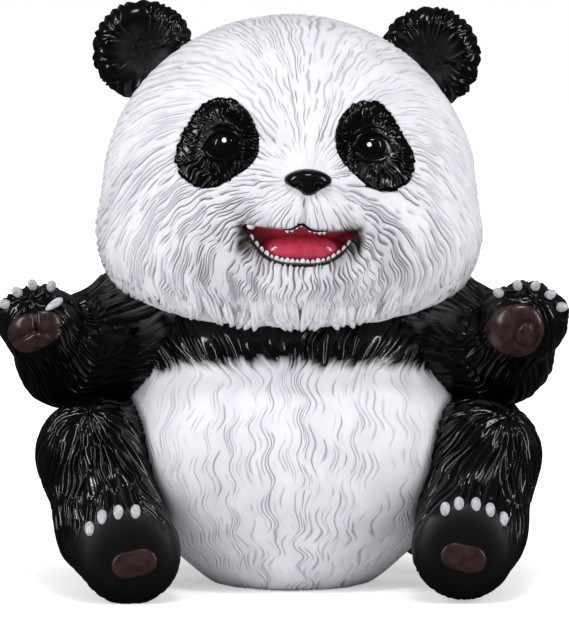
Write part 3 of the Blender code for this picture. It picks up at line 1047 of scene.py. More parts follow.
@dataclass
class Workshop:
    """Turns finished shapes into pieces of the frame, and keeps the finishes."""

    unit_m: float
    finishes: dict = field(default_factory=dict)

    def finish_of(self, finish: Coat | Enamel) -> bpy.types.Material:
        """The material of a finish, made once."""
        if finish.name not in self.finishes:
            self.finishes[finish.name] = finish.build(self.unit_m)
        return self.finishes[finish.name]

    def mesh(self, name: str, points: Array, faces: list[Array],
             layers: dict[str, Array] | None = None) -> bpy.types.Mesh:
        """A mesh in the frame's metres, smooth shaded, its faces pointing outwards.

        Args:
            name: The mesh's name.
            points: Places in figurine millimetres.
            faces: Arrays of triangles and of quads.
            layers: Paint layers, one value for each point.

        Returns:
            The new mesh.
        """
        signed = 0.0
        for group in faces:
            a, b, c = points[group[:, 0]], points[group[:, 1]], points[group[:, 2]]
            signed += np.einsum("ij,ij->", a, np.cross(b, c))
            if group.shape[1] == 4:
                signed += np.einsum("ij,ij->", a, np.cross(c, points[group[:, 3]]))
        if signed < 0:
            faces = [group[:, ::-1] for group in faces]
        mesh = bpy.data.meshes.new(name)
        total = sum(group.size for group in faces)
        mesh.vertices.add(len(points))
        mesh.vertices.foreach_set("co", ((points + STANCE) * self.unit_m).astype(np.float32).ravel())
        mesh.loops.add(total)
        order = np.concatenate([group.ravel() for group in faces])
        mesh.loops.foreach_set("vertex_index", order.astype(np.int32))
        sizes = np.concatenate([np.full(len(group), group.shape[1]) for group in faces])
        mesh.polygons.add(len(sizes))
        mesh.polygons.foreach_set("loop_start", (np.cumsum(sizes) - sizes).astype(np.int32))
        mesh.update(calc_edges=True)
        mesh.validate()
        mesh.shade_smooth()
        for layer, values in (layers or {}).items():
            data = mesh.attributes.new(layer, "FLOAT", "POINT").data
            data.foreach_set("value", values.astype(np.float32))
        return mesh

    def piece(self, mesh: bpy.types.Mesh, finish: Coat | Enamel) -> bpy.types.Object:
        """Puts a mesh in the scene as a piece of the figurine, in its finish.

        Args:
            mesh: The piece's mesh.
            finish: What it is painted with.

        Returns:
            The piece.
        """
        mesh.materials.clear()
        mesh.materials.append(self.finish_of(finish))
        obj = bpy.data.objects.new(mesh.name, mesh)
        bpy.context.scene.collection.objects.link(obj)
        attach(obj, BODY)
        mesh.calc_loop_triangles()
        LOG.info("%s: %d triangles", obj.name, len(mesh.loop_triangles))
        return obj


@dataclass
class Seeds:
    """Geometry Nodes for what repeats: a rounded, tapered and bent body on each point of a mesh.

    The body is a ball, squeezed towards its tip, leant over by its bend and scored along its length.
    Each point says how its body is turned and how large it is.
    """

    name: str
    segments: int = 12
    rings: int = 9
    taper: float = 0.4
    bend: float = 0.2
    scores: int = 0
    score_depth: float = 0.0
    jitter: float = 0.0
    seed: int = 1

    def tree(self, material: bpy.types.Material) -> bpy.types.NodeTree:
        """The node tree, its sizes as named inputs.

        Args:
            material: What the bodies are painted with.

        Returns:
            The tree.
        """
        tree = bpy.data.node_groups.new(self.name + "_nodes", "GeometryNodeTree")
        tree.interface.new_socket("Geometry", in_out="INPUT", socket_type="NodeSocketGeometry")
        tree.interface.new_socket("Geometry", in_out="OUTPUT", socket_type="NodeSocketGeometry")
        for label in ("Segments", "Rings", "Scores", "Seed"):
            tree.interface.new_socket(label, in_out="INPUT", socket_type="NodeSocketInt")
        for label in ("Taper", "Bend", "Score Depth", "Jitter"):
            tree.interface.new_socket(label, in_out="INPUT", socket_type="NodeSocketFloat")
        given = add_node(tree, "NodeGroupInput").outputs

        def sum_of(kind: str, first: object, second: object = 0.0) -> bpy.types.NodeSocket:
            """Result of one arithmetic step."""
            return add_node(tree, "ShaderNodeMath", {"operation": kind}, i0=first, i1=second).outputs[0]

        ball_node = add_node(tree, "GeometryNodeMeshUVSphere", Segments=given["Segments"],
                             Rings=given["Rings"], Radius=1.0)
        position = add_node(tree, "GeometryNodeInputPosition").outputs[0]
        place = add_node(tree, "ShaderNodeSeparateXYZ", Vector=position)
        along = sum_of("MULTIPLY", sum_of("ADD", place.outputs["Z"], 1.0), 0.5)
        narrow = sum_of("SUBTRACT", 1.0, sum_of("MULTIPLY", given["Taper"], along))
        azimuth = sum_of("ARCTAN2", place.outputs["Y"], place.outputs["X"])
        phase = sum_of("SINE", sum_of("MULTIPLY", azimuth, given["Scores"]))
        hollow_share = sum_of("SUBTRACT", 1.0, sum_of("POWER", sum_of("ABSOLUTE", phase), 0.6))
        scored = sum_of("MULTIPLY", hollow_share, given["Score Depth"])
        girth = sum_of("MULTIPLY", narrow, sum_of("SUBTRACT", 1.0, scored))
        lean = sum_of("MULTIPLY", given["Bend"], sum_of("POWER", along, 2.0))
        moved = add_node(tree, "ShaderNodeCombineXYZ",
                         X=sum_of("ADD", sum_of("MULTIPLY", place.outputs["X"], girth), lean),
                         Y=sum_of("MULTIPLY", place.outputs["Y"], girth), Z=place.outputs["Z"])
        body = add_node(tree, "GeometryNodeSetPosition", Geometry=ball_node.outputs["Mesh"],
                        Position=moved.outputs[0]).outputs[0]
        tips = sum_of("MULTIPLY", sum_of("POWER", along, 7.0), 0.55)
        per_point = {"data_type": "FLOAT", "domain": "POINT"}
        # The curls' tips take the brown washes, and their scores painted shade
        for label, value in (("wash_and_shade", tips), ("groove", sum_of("MULTIPLY", hollow_share, 0.8))):
            body = add_node(tree, "GeometryNodeStoreNamedAttribute", per_point, Geometry=body, Name=label,
                            Value=value).outputs[0]
        vector = {"data_type": "FLOAT_VECTOR"}
        turn = add_node(tree, "GeometryNodeInputNamedAttribute", vector, Name="turn")
        size = add_node(tree, "GeometryNodeInputNamedAttribute", vector, Name="size")
        smaller = sum_of("SUBTRACT", 1.0, given["Jitter"])
        larger = sum_of("ADD", 1.0, given["Jitter"])
        varied = add_node(tree, "FunctionNodeRandomValue", {"data_type": "FLOAT"}, i2=smaller, i3=larger,
                          Seed=given["Seed"])
        sized = add_node(tree, "ShaderNodeVectorMath", {"operation": "SCALE"}, i0=size.outputs[0],
                         Scale=varied.outputs[1])
        turned = add_node(tree, "FunctionNodeEulerToRotation", Euler=turn.outputs[0])
        placed = add_node(tree, "GeometryNodeInstanceOnPoints", Points=given["Geometry"], Instance=body,
                          Rotation=turned.outputs[0], Scale=sized.outputs[0])
        real = add_node(tree, "GeometryNodeRealizeInstances", Geometry=placed.outputs[0])
        painted = add_node(tree, "GeometryNodeSetMaterial", Geometry=real.outputs[0], Material=material)
        add_node(tree, "NodeGroupOutput", Geometry=painted.outputs[0])
        return tree

    def grow(self, shop: Workshop, finish: Coat | Enamel, spots: Array, tips: Array,
             sizes: Array, lean_ways: Array) -> bpy.types.Object:
        """Grows a body on each spot and puts them in the scene as one piece.

        Args:
            shop: Keeps finishes and the scale.
            finish: What they are painted with.
            spots: Middles of the bodies, in figurine millimetres.
            tips: Directions from their roots to their tips.
            sizes: Half width, half thickness and half length of each.
            lean_ways: Direction that each body bends to.

        Returns:
            The piece.
        """
        points = bpy.data.meshes.new(self.name + "_spots")
        points.from_pydata([tuple(p) for p in (spots + STANCE) * shop.unit_m], [], [])
        turns = []
        for tip, lean in zip(tips, lean_ways):
            z = unit(tip)
            y = unit(np.cross(z, lean))
            turns.append(Matrix(np.stack([np.cross(y, z), y, z], axis=1).tolist()).to_euler())
        turn_layer = points.attributes.new("turn", "FLOAT_VECTOR", "POINT").data
        turn_layer.foreach_set("vector", np.array([tuple(t) for t in turns], np.float32).ravel())
        size_layer = points.attributes.new("size", "FLOAT_VECTOR", "POINT").data
        size_layer.foreach_set("vector", (np.asarray(sizes) * shop.unit_m).astype(np.float32).ravel())
        host = bpy.data.objects.new(self.name + "_spots", points)
        bpy.context.scene.collection.objects.link(host)
        modifier = host.modifiers.new(self.name, "NODES")
        modifier.node_group = self.tree(shop.finish_of(finish))
        values = {"Segments": self.segments, "Rings": self.rings, "Scores": self.scores,
                  "Seed": self.seed, "Taper": self.taper, "Bend": self.bend,
                  "Score Depth": self.score_depth, "Jitter": self.jitter}
        for item in modifier.node_group.interface.items_tree:
            if item.item_type == "SOCKET" and item.in_out == "INPUT" and item.name in values:
                modifier[item.identifier] = values[item.name]
        graph = bpy.context.evaluated_depsgraph_get()
        mesh = bpy.data.meshes.new_from_object(host.evaluated_get(graph), depsgraph=graph)
        mesh.name = self.name
        host.modifiers.remove(modifier)
        bpy.data.objects.remove(host)
        for layer in ("turn", "size"):
            if layer in mesh.attributes:
                mesh.attributes.remove(mesh.attributes[layer])
        mesh.shade_smooth()
        return shop.piece(mesh, finish)


# Satin white with painted shade in its grooves; gloss black with a light on each strand; deep black with few
# lights
FUR_COAT = Coat("hand_painted_fur_coat")
GLOSS_COAT = Coat("gloss_black_coat")
EYE_COAT = Coat("eye_field_black_coat", black_roughness=0.10, specular=0.16)

# Thick clear gloss, so that eyes mirror the lamps small and sharp, and the nose a little softer
EYE_ENAMEL = Enamel("gloss_black_enamel", "050506", "0A0A0C", 0.06, bump=0.02)
NOSE_ENAMEL = Enamel("nose_black_enamel", "060607", "0D0D10", 0.16)
SPARK_ENAMEL = Enamel("white_dot_enamel", "F7F7F8", "EDEDF0", 0.3)

# Brushed enamels: uneven brown pads and lips, stone-grey claws, wet-looking red tongue, off-white teeth
PAD_ENAMEL = Enamel("brown_pad_enamel", "382323", "231515", 0.26, specular=0.34)
CLAW_ENAMEL = Enamel("claw_grey_enamel", "C6C8CE", "9A9CA4", 0.38, mottle_mm=1.2)
TONGUE_ENAMEL = Enamel("tongue_red_enamel", "D04660", "B8324C", 0.15, specular=0.5)
LIP_ENAMEL = Enamel("lip_brown_enamel", "2C1C1C", "120D0E", 0.25, mottle_mm=5.0)
TOOTH_ENAMEL = Enamel("tooth_white_enamel", "E9EEF0", "BCC8CD", 0.2, mottle_mm=0.8)


@dataclass
class Head:
    """The head's furry shell, with its eye fields, eyes, nose and mouth."""

    anatomy: Anatomy
    comb: Comb = field(default_factory=lambda: Comb(
        pitch=1.45, depth=1.05, fewest=16, wave=0.6, width=0.34, wave_length=11.0, gaps=0.38, run=3.6,
        stray=0.5, lock=0.3, lock_cells=8.0, crown=0.4, seed=3))
    centre: tuple = (1, -8, 128)
    hub: tuple = (5.2, -56, 14.5)
    radius: float = 60.0
    steps: tuple = ((8, 1.2), (46, 0.78), (110, 1.35), (190, 3.2))
    field_corners: tuple = (
        ((-21.8, 169.6), (-15.2, 165), (-9.3, 155.4), (-12.3, 148.5), (-17.4, 142.6), (-26.8, 139.6),
         (-37, 143.9), (-37.6, 149.5), (-34.3, 159.1), (-30, 164.6)),
        ((25.6, 167.9), (18, 163.7), (15.1, 155.4), (18.7, 146.9), (24.3, 140.9), (31.9, 138.3),
         (40.6, 141.4), (41.1, 147.9), (38.8, 155.4), (34.1, 163)))
    field_sink: float = 1.1
    eyeball_radii: tuple = (4.7, 3.9, 4.0)
    eyeball_sink: float = 2.3
    lid_scale: float = 0.87
    lids: tuple = (
        ("upper_lid", 0.62, ((-8.4, -1.8), (-6.6, 1.8), (-4.0, 4.4), (-0.4, 5.5), (3.6, 4.9), (6.4, 2.6),
                             (7.8, -0.4))),
        ("upper_fold", 0.42, ((-7.0, 4.0), (-4.2, 6.6), (-0.2, 7.7), (4.0, 7.0), (7.2, 4.4))),
        ("lower_lid", 0.62, ((-6.8, -2.6), (-4.6, -4.6), (-1.6, -5.5), (1.8, -5.5), (4.8, -4.5),
                             (6.8, -2.4))))
    dot_radii: tuple = (0.85, 0.35, 0.8)
    dot_offsets: tuple = ((0.2, 1.4), (-1.0, 0.6))
    nose_lobes: tuple = (((2.7, -63.4, 142.4), (4.4, 3.8, 2.6)), ((9.6, -63.4, 142.1), (4.3, 3.8, 2.7)),
                         ((6.0, -64.3, 142.7), (5.0, 4.2, 3.2)), ((6.3, -63.6, 139.6), (3.0, 3.6, 2.7)))
    nostrils: tuple = ((2.6, -67.4, 140.9), (9.7, -67.4, 140.6))
    nostril_radii: tuple = (1.5, 2.2, 1.0)
    mouth_sink: float = 9.5
    snap: float = 0.36

    def bend(self, angle: Array, travel: Array) -> Array:
        """Turns the fur of the cheeks down towards the jaw."""
        return -0.62 * smooth_step(travel, 30, 92) * np.cos(angle)

    def sway_share(self, angle: Array, travel: Array) -> Array:
        """Straighter strands on the forehead, wavier ones on the cheeks and the chin."""
        return 0.3 + 0.8 * smooth_step(travel, 16, 50) * smooth_step(-np.sin(angle), -0.55, 0.35)

    def calm(self, points: Array) -> Array:
        """Share of the fur's depth that is kept: little on the nose bridge, the muzzle and in the mouth.

        Args:
            points: Where to measure.

        Returns:
            The share at each point.
        """
        bridge = np.linalg.norm((points - (5.8, -62, 146)) / (9, 14, 7), axis=1)
        muzzle = np.linalg.norm((points - (5, -64, 134)) / (15, 14, 8), axis=1)
        whorl = np.linalg.norm(points - (-4, 45, 115), axis=1)
        share = (0.15 + 0.85 * smooth_step(bridge, 0.7, 1.6)) * (0.45 + 0.55 * smooth_step(muzzle, 0.8, 1.5))
        share = share * (1.25 - 0.6 * smooth_step(points[:, 2], 138, 166))
        local = (points - np.asarray(self.anatomy.mouth_middle)) @ self.anatomy.head_turn
        gap = np.where(local[:, 1] < 25, self.mouth_gap(local), 99)
        return share * (0.25 + 0.75 * smooth_step(whorl, 4, 20)) * (0.08 + 0.92 * smooth_step(gap, -0.6, 0.4))

    def in_field(self, points: Array, side: Side) -> Array:
        """Distance into an eye's black field, over the front of the head.

        Args:
            points: Where to measure.
            side: Which eye.

        Returns:
            The distances, positive inside the field.
        """
        centre = self.anatomy.eyes[side.value]
        offset = points[:, (0, 2)] - np.asarray(centre)
        reach = soft_outline(centre, self.field_corners[side.value], np.arctan2(offset[:, 1], offset[:, 0]))
        return np.where(points[:, 1] < -15, reach - np.linalg.norm(offset, axis=1), -99)

    def mouth_gap(self, local: Array) -> Array:
        """Distance to the mouth's edge across the face, negative inside it.

        Args:
            local: Places from the mouth's middle, in the face's own directions.

        Returns:
            The distances.
        """
        upper, lower = self.anatomy.lips(local[:, 0] / self.anatomy.mouth_half_width)
        gap = np.maximum(local[:, 2] - upper, lower - local[:, 2])
        return np.maximum(gap, np.abs(local[:, 0]) - self.anatomy.mouth_half_width)

    def open_mouth(self, points: Array) -> tuple[Array, Array]:
        """Sinks what lies inside the mouth's edge, and draws the nearest points onto that edge.

        Args:
            points: The shell's points.

        Returns:
            The moved points, and how far inside the mouth each lies.
        """
        anatomy = self.anatomy
        middle, turn = np.asarray(anatomy.mouth_middle), anatomy.head_turn
        local = (points - middle) @ turn
        gap = np.where(local[:, 1] < 25, self.mouth_gap(local), 99)
        near = np.abs(gap) < self.snap
        for _ in range(3):
            step = 0.05
            here = self.mouth_gap(local[near])
            east = self.mouth_gap(local[near] + (step, 0, 0)) - self.mouth_gap(local[near] - (step, 0, 0))
            north = self.mouth_gap(local[near] + (0, 0, step)) - self.mouth_gap(local[near] - (0, 0, step))
            way = np.stack([east, 0 * east, north], axis=1)
            way = way / np.maximum(np.linalg.norm(way, axis=1), 1e-6)[:, None]
            local[near] -= way * here[:, None]
        inside = np.where(near, 0.0, np.clip(-gap, 0, None))
        local[:, 1] += self.mouth_sink * (1 - np.exp(-inside / 0.9)) * (inside > 0)
        return middle + local @ turn.T, inside

    def build(self, shop: Workshop) -> None:
        """Makes the shell, its paint, and what sits in it.

        Args:
            shop: Keeps finishes and the scale.
        """
        anatomy = self.anatomy
        rings = round_rings(self.centre, self.hub, self.radius, self.steps)
        relief = fur_net(anatomy.skull, rings, self.comb, self.bend, self.calm, self.sway_share)
        depth = np.zeros(len(relief.points))
        for side in Side:
            depth = np.maximum(depth, smooth_step(self.in_field(relief.points, side), -0.15, 0.5))
        points = relief.points - relief.normals * (self.field_sink * depth)[:, None]
        points, inside = self.open_mouth(points)
        local = (points - np.asarray(anatomy.mouth_middle)) @ anatomy.head_turn
        corner = np.minimum(np.hypot(local[:, 0] - anatomy.mouth_half_width, local[:, 2] - 1.5),
                            np.hypot(local[:, 0] + anatomy.mouth_half_width, local[:, 2] - 1.5))
        front = local[:, 1] < 15
        # Painted shade by the mouth's corners: a dark smudge beside and below each, darkest at the corner
        # itself
        beside = np.abs(local[:, 0]) - anatomy.mouth_half_width
        smudge = np.hypot((beside + 2.0) / 3.6, (local[:, 2] + 2.6) / 6.6)
        uneven = 1.15 + 0.7 * (scatter(np.floor(relief.line), 4) - 0.5)
        shadow = np.exp(-(smudge ** 3)) * uneven * front
        shadow = np.maximum(shadow, np.exp(-((corner / 2.0) ** 2)) * front)
        # A thin dark lip line along the mouth's edge, widening into painted shade at its sides and under the
        # lower lip
        gap = np.clip(self.mouth_gap(local), 0, 9)
        aside = smooth_step(np.abs(local[:, 0]) / anatomy.mouth_half_width, 0.4, 0.8)
        lip = np.exp(-gap / (0.9 + 2.8 * aside)) * front * np.where(local[:, 2] < 2, 0.6 + 0.4 * aside, 0.3)
        tips = scatter(np.floor(relief.line), 9) - 0.5
        ears = np.minimum.reduce([anatomy.ear(points, side) for side in Side])
        arms = np.minimum.reduce([anatomy.arm(points, side) for side in Side])
        # A ragged brown speckle where the head lies close to an arm, which also paints the shade between them
        speckle_and_shade = smooth_step(-arms, -6.0, -0.3) * (0.65 + 0.7 * tips)
        # A furrow from the nose down to the mouth, pressed in and given painted shade along it
        furrow = np.exp(-((local[:, 0] - 0.6) ** 2)) * smooth_step(local[:, 2], 2.5, 4.5)
        furrow = furrow * (1 - smooth_step(local[:, 2], 11, 13.5)) * front
        points[:, 1] += 0.8 * furrow
        layers = {
            "groove": np.clip(relief.groove + 0.5 * furrow, 0, 1),
            "black": smooth_step(2.4 * tips - ears, -1.0, -0.2),
            "wash_and_shade": np.clip(np.maximum.reduce([shadow, lip, speckle_and_shade]), 0, 1),
            # Painted shade in the mouth's corners, where its red gives way to the dark brown
            "mouth": smooth_step(inside, 0.0, 0.5) * (1 - 0.9 * np.exp(-((corner / 4.2) ** 2))),
        }
        shell = shop.piece(shop.mesh("head", points, relief.faces, layers), FUR_COAT)
        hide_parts(CAST_NODE)
        for side in Side:
            self.eye(shop, side)
        self.nose(shop)
        self.mouth(shop)

    def eye(self, shop: Workshop, side: Side) -> None:
        """One eye: its black field, the ball, both lids and the painted dot.

        Args:
            shop: Keeps finishes and the scale.
            side: Which eye.
        """
        x, z = self.anatomy.eyes[side.value]
        skull = self.anatomy.skull
        patch = Plaque((x, z), self.field_corners[side.value], rise=0.35, sink=3.2, rows=34, columns=240,
                       comb_depth=1.0, strands=64, ragged=0.06, seed=5 + side.value)
        relief = patch.net(skull)
        mesh = shop.mesh(f"eye_field_{side.label}", relief.points, relief.faces, relief.black())
        shop.piece(mesh, EYE_COAT)
        socket = pressed(skull, np.array([(x, z)]))[0] + (0, self.eyeball_sink, 0)

        def eyeball(p: Array) -> Array:
            """The ball of the eye."""
            return ball(p, socket, self.eyeball_radii)

        points, faces = smooth_net(eyeball, socket, (0, -1, 0), 22, 40)
        shop.piece(shop.mesh(f"eye_{side.label}", points, faces), EYE_ENAMEL)

        def seat(p: Array) -> Array:
            """Eye and field together, which the lids lie on."""
            return np.minimum(eyeball(p), skull(p) - 0.35)

        mirror = 1 if side is Side.LEFT else -1
        scale = (self.lid_scale * mirror, self.lid_scale)
        thinning = np.sin(np.linspace(0.05, math.pi - 0.05, 40)) ** 0.7
        for name, radius, corners in self.lids:
            line = evenly(smoothed(np.array(corners) * scale + (x, z)), 40)
            radii = 0.12 + radius * thinning
            points, faces = tube(pressed(seat, line) - (0, 0.05, 0), radii)
            shop.piece(shop.mesh(f"{name}_{side.label}", points, faces), EYE_ENAMEL)
        dot = np.array((x, z)) + self.dot_offsets[side.value]
        place = pressed(eyeball, dot[None, :])[0]
        points, faces = smooth_net(lambda p: ball(p, place, self.dot_radii), place, (0, -1, 0), 8, 16)
        shop.piece(shop.mesh(f"eye_dot_{side.label}", points, faces), SPARK_ENAMEL)

    def nose(self, shop: Workshop) -> None:
        """The nose, a rounded triangle with two nostrils.

        Args:
            shop: Keeps finishes and the scale.
        """
        def form(p: Array) -> Array:
            """Its four lobes less the nostrils.

            Args:
                p: Where to measure.

            Returns:
                The distances, negative inside.
            """
            whole = ball(p, *self.nose_lobes[0])
            for lobe in self.nose_lobes[1:]:
                whole = fuse(whole, ball(p, *lobe), 2.2)
            for nostril in self.nostrils:
                whole = hollow(whole, ball(p, nostril, self.nostril_radii), 0.8)
            return whole

        points, faces = smooth_net(form, (6.2, -63.0, 141.6), (0, -1, 0.1), 44, 72)
        shop.piece(shop.mesh("nose", points, faces), NOSE_ENAMEL)

    def by_mouth(self, across: Array, height: Array, back: float) -> Array:
        """Places about the mouth, level with the face or behind it.

        Args:
            across: Shares of the mouth's half width, from its middle.
            height: How high each is over the mouth's middle.
            back: How far they lie behind the face.

        Returns:
            The places.
        """
        anatomy = self.anatomy
        flat = np.stack([across * anatomy.mouth_half_width, 0 * across, height], axis=1)
        spots = np.asarray(anatomy.mouth_middle) + flat @ anatomy.head_turn.T
        return pressed(anatomy.skull, spots[:, (0, 2)]) + (0, back, 0)

    def mouth(self, shop: Workshop) -> None:
        """Tongue, lower lip, upper gum, both rows of teeth and the tooth in the corner.

        Args:
            shop: Keeps finishes and the scale.
        """
        lips = self.anatomy.lips

        def tongue(p: Array) -> Array:
            """A low mound with a furrow down its middle."""
            mound = ball(p, (3.8, -50.6, 118.6), (14.4, 9.4, 5.5))
            return hollow(mound, limb(p, (3.8, -61, 126.1), (3.8, -46, 125.8), 2.4, 1.6), 1.8)

        points, faces = smooth_net(tongue, (3.8, -50.6, 117.2), (0, -1, 0.2), 30, 56)
        shop.piece(shop.mesh("tongue", points, faces), TONGUE_ENAMEL)
        across = np.linspace(-0.9, 0.9, 60)
        radii = 0.25 + 0.45 * np.sqrt(np.clip(1 - (across / 0.92) ** 2, 0, 1))
        points, faces = tube(self.by_mouth(across, lips(across)[1] - 0.1, 0.45), radii)
        shop.piece(shop.mesh("lower_lip", points, faces), LIP_ENAMEL)
        across = np.linspace(-0.32, 0.44, 30)
        radii = 0.2 + 0.65 * np.sin(np.linspace(0, math.pi, 30))
        points, faces = tube(self.by_mouth(across, lips(across)[0] - 0.15, 1.2), radii)
        shop.piece(shop.mesh("upper_gum", points, faces), LIP_ENAMEL)
        self.teeth(shop, "teeth_lower", np.linspace(-0.84, 0.82, 20), 1, (0.95, 0.7, 1.15), 1.4)
        self.teeth(shop, "teeth_upper", np.linspace(-0.24, 0.38, 9), -1, (0.72, 0.55, 0.7), 1.7)
        self.teeth(shop, "corner_tooth", np.array([-0.85]), -1, (1.5, 0.8, 0.9), 1.2)

    def teeth(self, shop: Workshop, name: str, across: Array, way: int, size: Sequence[float],
              back: float) -> None:
        """A row of small rounded teeth behind a lip.

        Args:
            shop: Keeps finishes and the scale.
            name: The piece's name.
            across: Where each stands, as a share of the mouth's half width.
            way: 1 for teeth that stand up from the lower lip, -1 for those that hang from the upper one.
            size: Half width, half thickness and half length.
            back: How far they stand behind the face.
        """
        upper, lower = self.anatomy.lips(across)
        edge = (lower + 0.75) if way > 0 else (upper - 0.7)
        count = np.arange(len(across))
        places = self.by_mouth(across, edge, back)
        sizes = np.tile(size, (len(across), 1)) * (0.8 + 0.45 * scatter(count, 4))[:, None]
        tips = np.stack([0.25 * (scatter(count, 7) - 0.5), -0.15 + 0 * across, way + 0 * across], axis=1)
        leans = np.tile((1.0, 0.0, 0.0), (len(across), 1))
        row = Seeds(name, segments=10, rings=7, taper=0.3, bend=0.1, jitter=0.1, seed=3)
        row.grow(shop, TOOTH_ENAMEL, places, tips, sizes, leans)


@dataclass
class Fringe:
    """The fur's curled ends along the jaw, in two rows that overlap."""

    anatomy: Anatomy
    count: int = 58
    spread: float = 112.0
    lowest: float = 91.5
    bow: float = 14.0
    axis: tuple = (2.0, -12.0)
    row_heights: tuple = (0.0, 5.5)

    def build(self, shop: Workshop) -> None:
        """Grows the curls along the jaw, from ear side to ear side.

        Args:
            shop: Keeps finishes and the scale.
        """
        spots, falls, sizes, leans = [], [], [], []
        for row, raised in enumerate(self.row_heights):
            step = np.arange(self.count - row)
            chance = [scatter(step, np.float64(seed + 20 * row)) for seed in (5, 8, 2, 13)]
            even = np.linspace(-self.spread, self.spread, self.count)[:len(step)]
            even = even + row * self.spread / self.count
            angle = np.radians(even + 3.4 * (chance[0] - 0.5))
            way = np.stack([np.sin(angle), -np.cos(angle), 0 * angle], axis=1)
            tip_height = self.lowest + self.bow * (1 - np.cos(angle)) ** 1.35 + raised + 1.6 * chance[1] - 0.3
            root_height = tip_height + 6.0 + 7.0 * chance[2]
            ends = []
            for height, proud in ((np.maximum(tip_height, 97.5), 0.2 - 0.7 * row), (root_height, -1.8)):
                middle = np.stack([self.axis[0] + 0 * angle, self.axis[1] + 0 * angle, height], axis=1)
                ends.append(middle + way * (march(self.anatomy.skull, middle, way) + proud)[:, None])
            ends[0][:, 2] = tip_height
            fall = ends[0] - ends[1]
            turn = np.sign(np.sin(step * 0.75 + row) + 1.1 * (chance[3] - 0.5))
            spots.append((ends[0] + ends[1]) / 2)
            falls.append(fall)
            half_length = 0.52 * np.linalg.norm(fall, axis=1)
            sizes.append(np.stack([2.7 + 0.9 * chance[1], 1.35 + 0 * angle, half_length], axis=1))
            leans.append(np.stack([np.cos(angle), np.sin(angle), 0 * angle], axis=1) * turn[:, None])
        curls = Seeds("jaw_fringe", segments=24, rings=16, taper=0.42, bend=0.85, scores=4,
                      score_depth=0.34, seed=2)
        curls.grow(shop, FUR_COAT, np.concatenate(spots), np.concatenate(falls),
                   np.concatenate(sizes), np.concatenate(leans))


@dataclass
class Trunk:
    """Belly, chest band, back and tail."""

    anatomy: Anatomy
    comb: Comb = field(default_factory=lambda: Comb(
        pitch=1.9, depth=0.58, columns=4, fewest=8, wave=1.15, wave_length=13.0, gaps=0.52, run=4.4,
        width=0.34, stray=0.5, crown=0.25, lock=0.2, lock_run=13.0, seed=5))

    def bend(self, angle: Array, travel: Array) -> Array:
        """Leads the strands of the chest in towards its middle, as they come down over the band."""
        return 1.05 * np.cos(angle) * (1 - smooth_step(travel, 31, 54))

    def edge_height(self, points: Array, line: Array, travel: Array) -> Array:
        """How high the white of the belly reaches at each point, ragged as the strands' tips are.

        Args:
            points: Where to measure.
            line: The strand that each point is on.
            travel: How far down the fur each point is.

        Returns:
            The heights.
        """
        side = np.abs(points[:, 0] - 1) / 52
        front = smooth_step(-points[:, 1], -8, 6)
        level = self.anatomy.band_edge - 9 * side**4 * front - 2.5 * (1 - front)
        tips = 2.2 * (scatter(np.floor(line), 9) - 0.5) + 1.3 * drift(line * 0.22, travel / 9, 5)
        notch = -2.0 * np.exp(-(((points[:, 0] - 1) / 1.6) ** 2)) * front
        return level + tips + notch

    def build(self, shop: Workshop) -> None:
        """Makes the shell and its paint.

        Args:
            shop: Keeps finishes and the scale.
        """
        anatomy = self.anatomy
        rings = round_rings((1, 1, 47), (0, 0, 1), 52, ((200, 1.15),), over=(0, 1, 0))
        relief = fur_net(anatomy.trunk, rings, self.comb, self.bend,
                         lambda p: 1 + 2.5 * smooth_step(p[:, 2], 77, 82))
        points = relief.points
        edge = self.edge_height(points, relief.line, relief.travel)
        black = smooth_step(points[:, 2], edge - 0.35, edge + 0.35)
        # A brown wash under the band's ragged edge, and painted shade where the belly meets the legs
        brown = 0.6 * smooth_step(points[:, 2], edge - 3.0, edge)
        limbs = np.minimum.reduce([anatomy.leg(points, side) for side in Side])
        brown = np.maximum(brown, 0.75 * smooth_step(-limbs, -3.6, -0.2))
        layers = {"groove": 0.8 * np.clip(relief.groove, 0, 1), "black": black, "wash_and_shade": brown,
                  "mouth": np.zeros(len(points))}
        shop.piece(shop.mesh("trunk", points, relief.faces, layers), FUR_COAT)


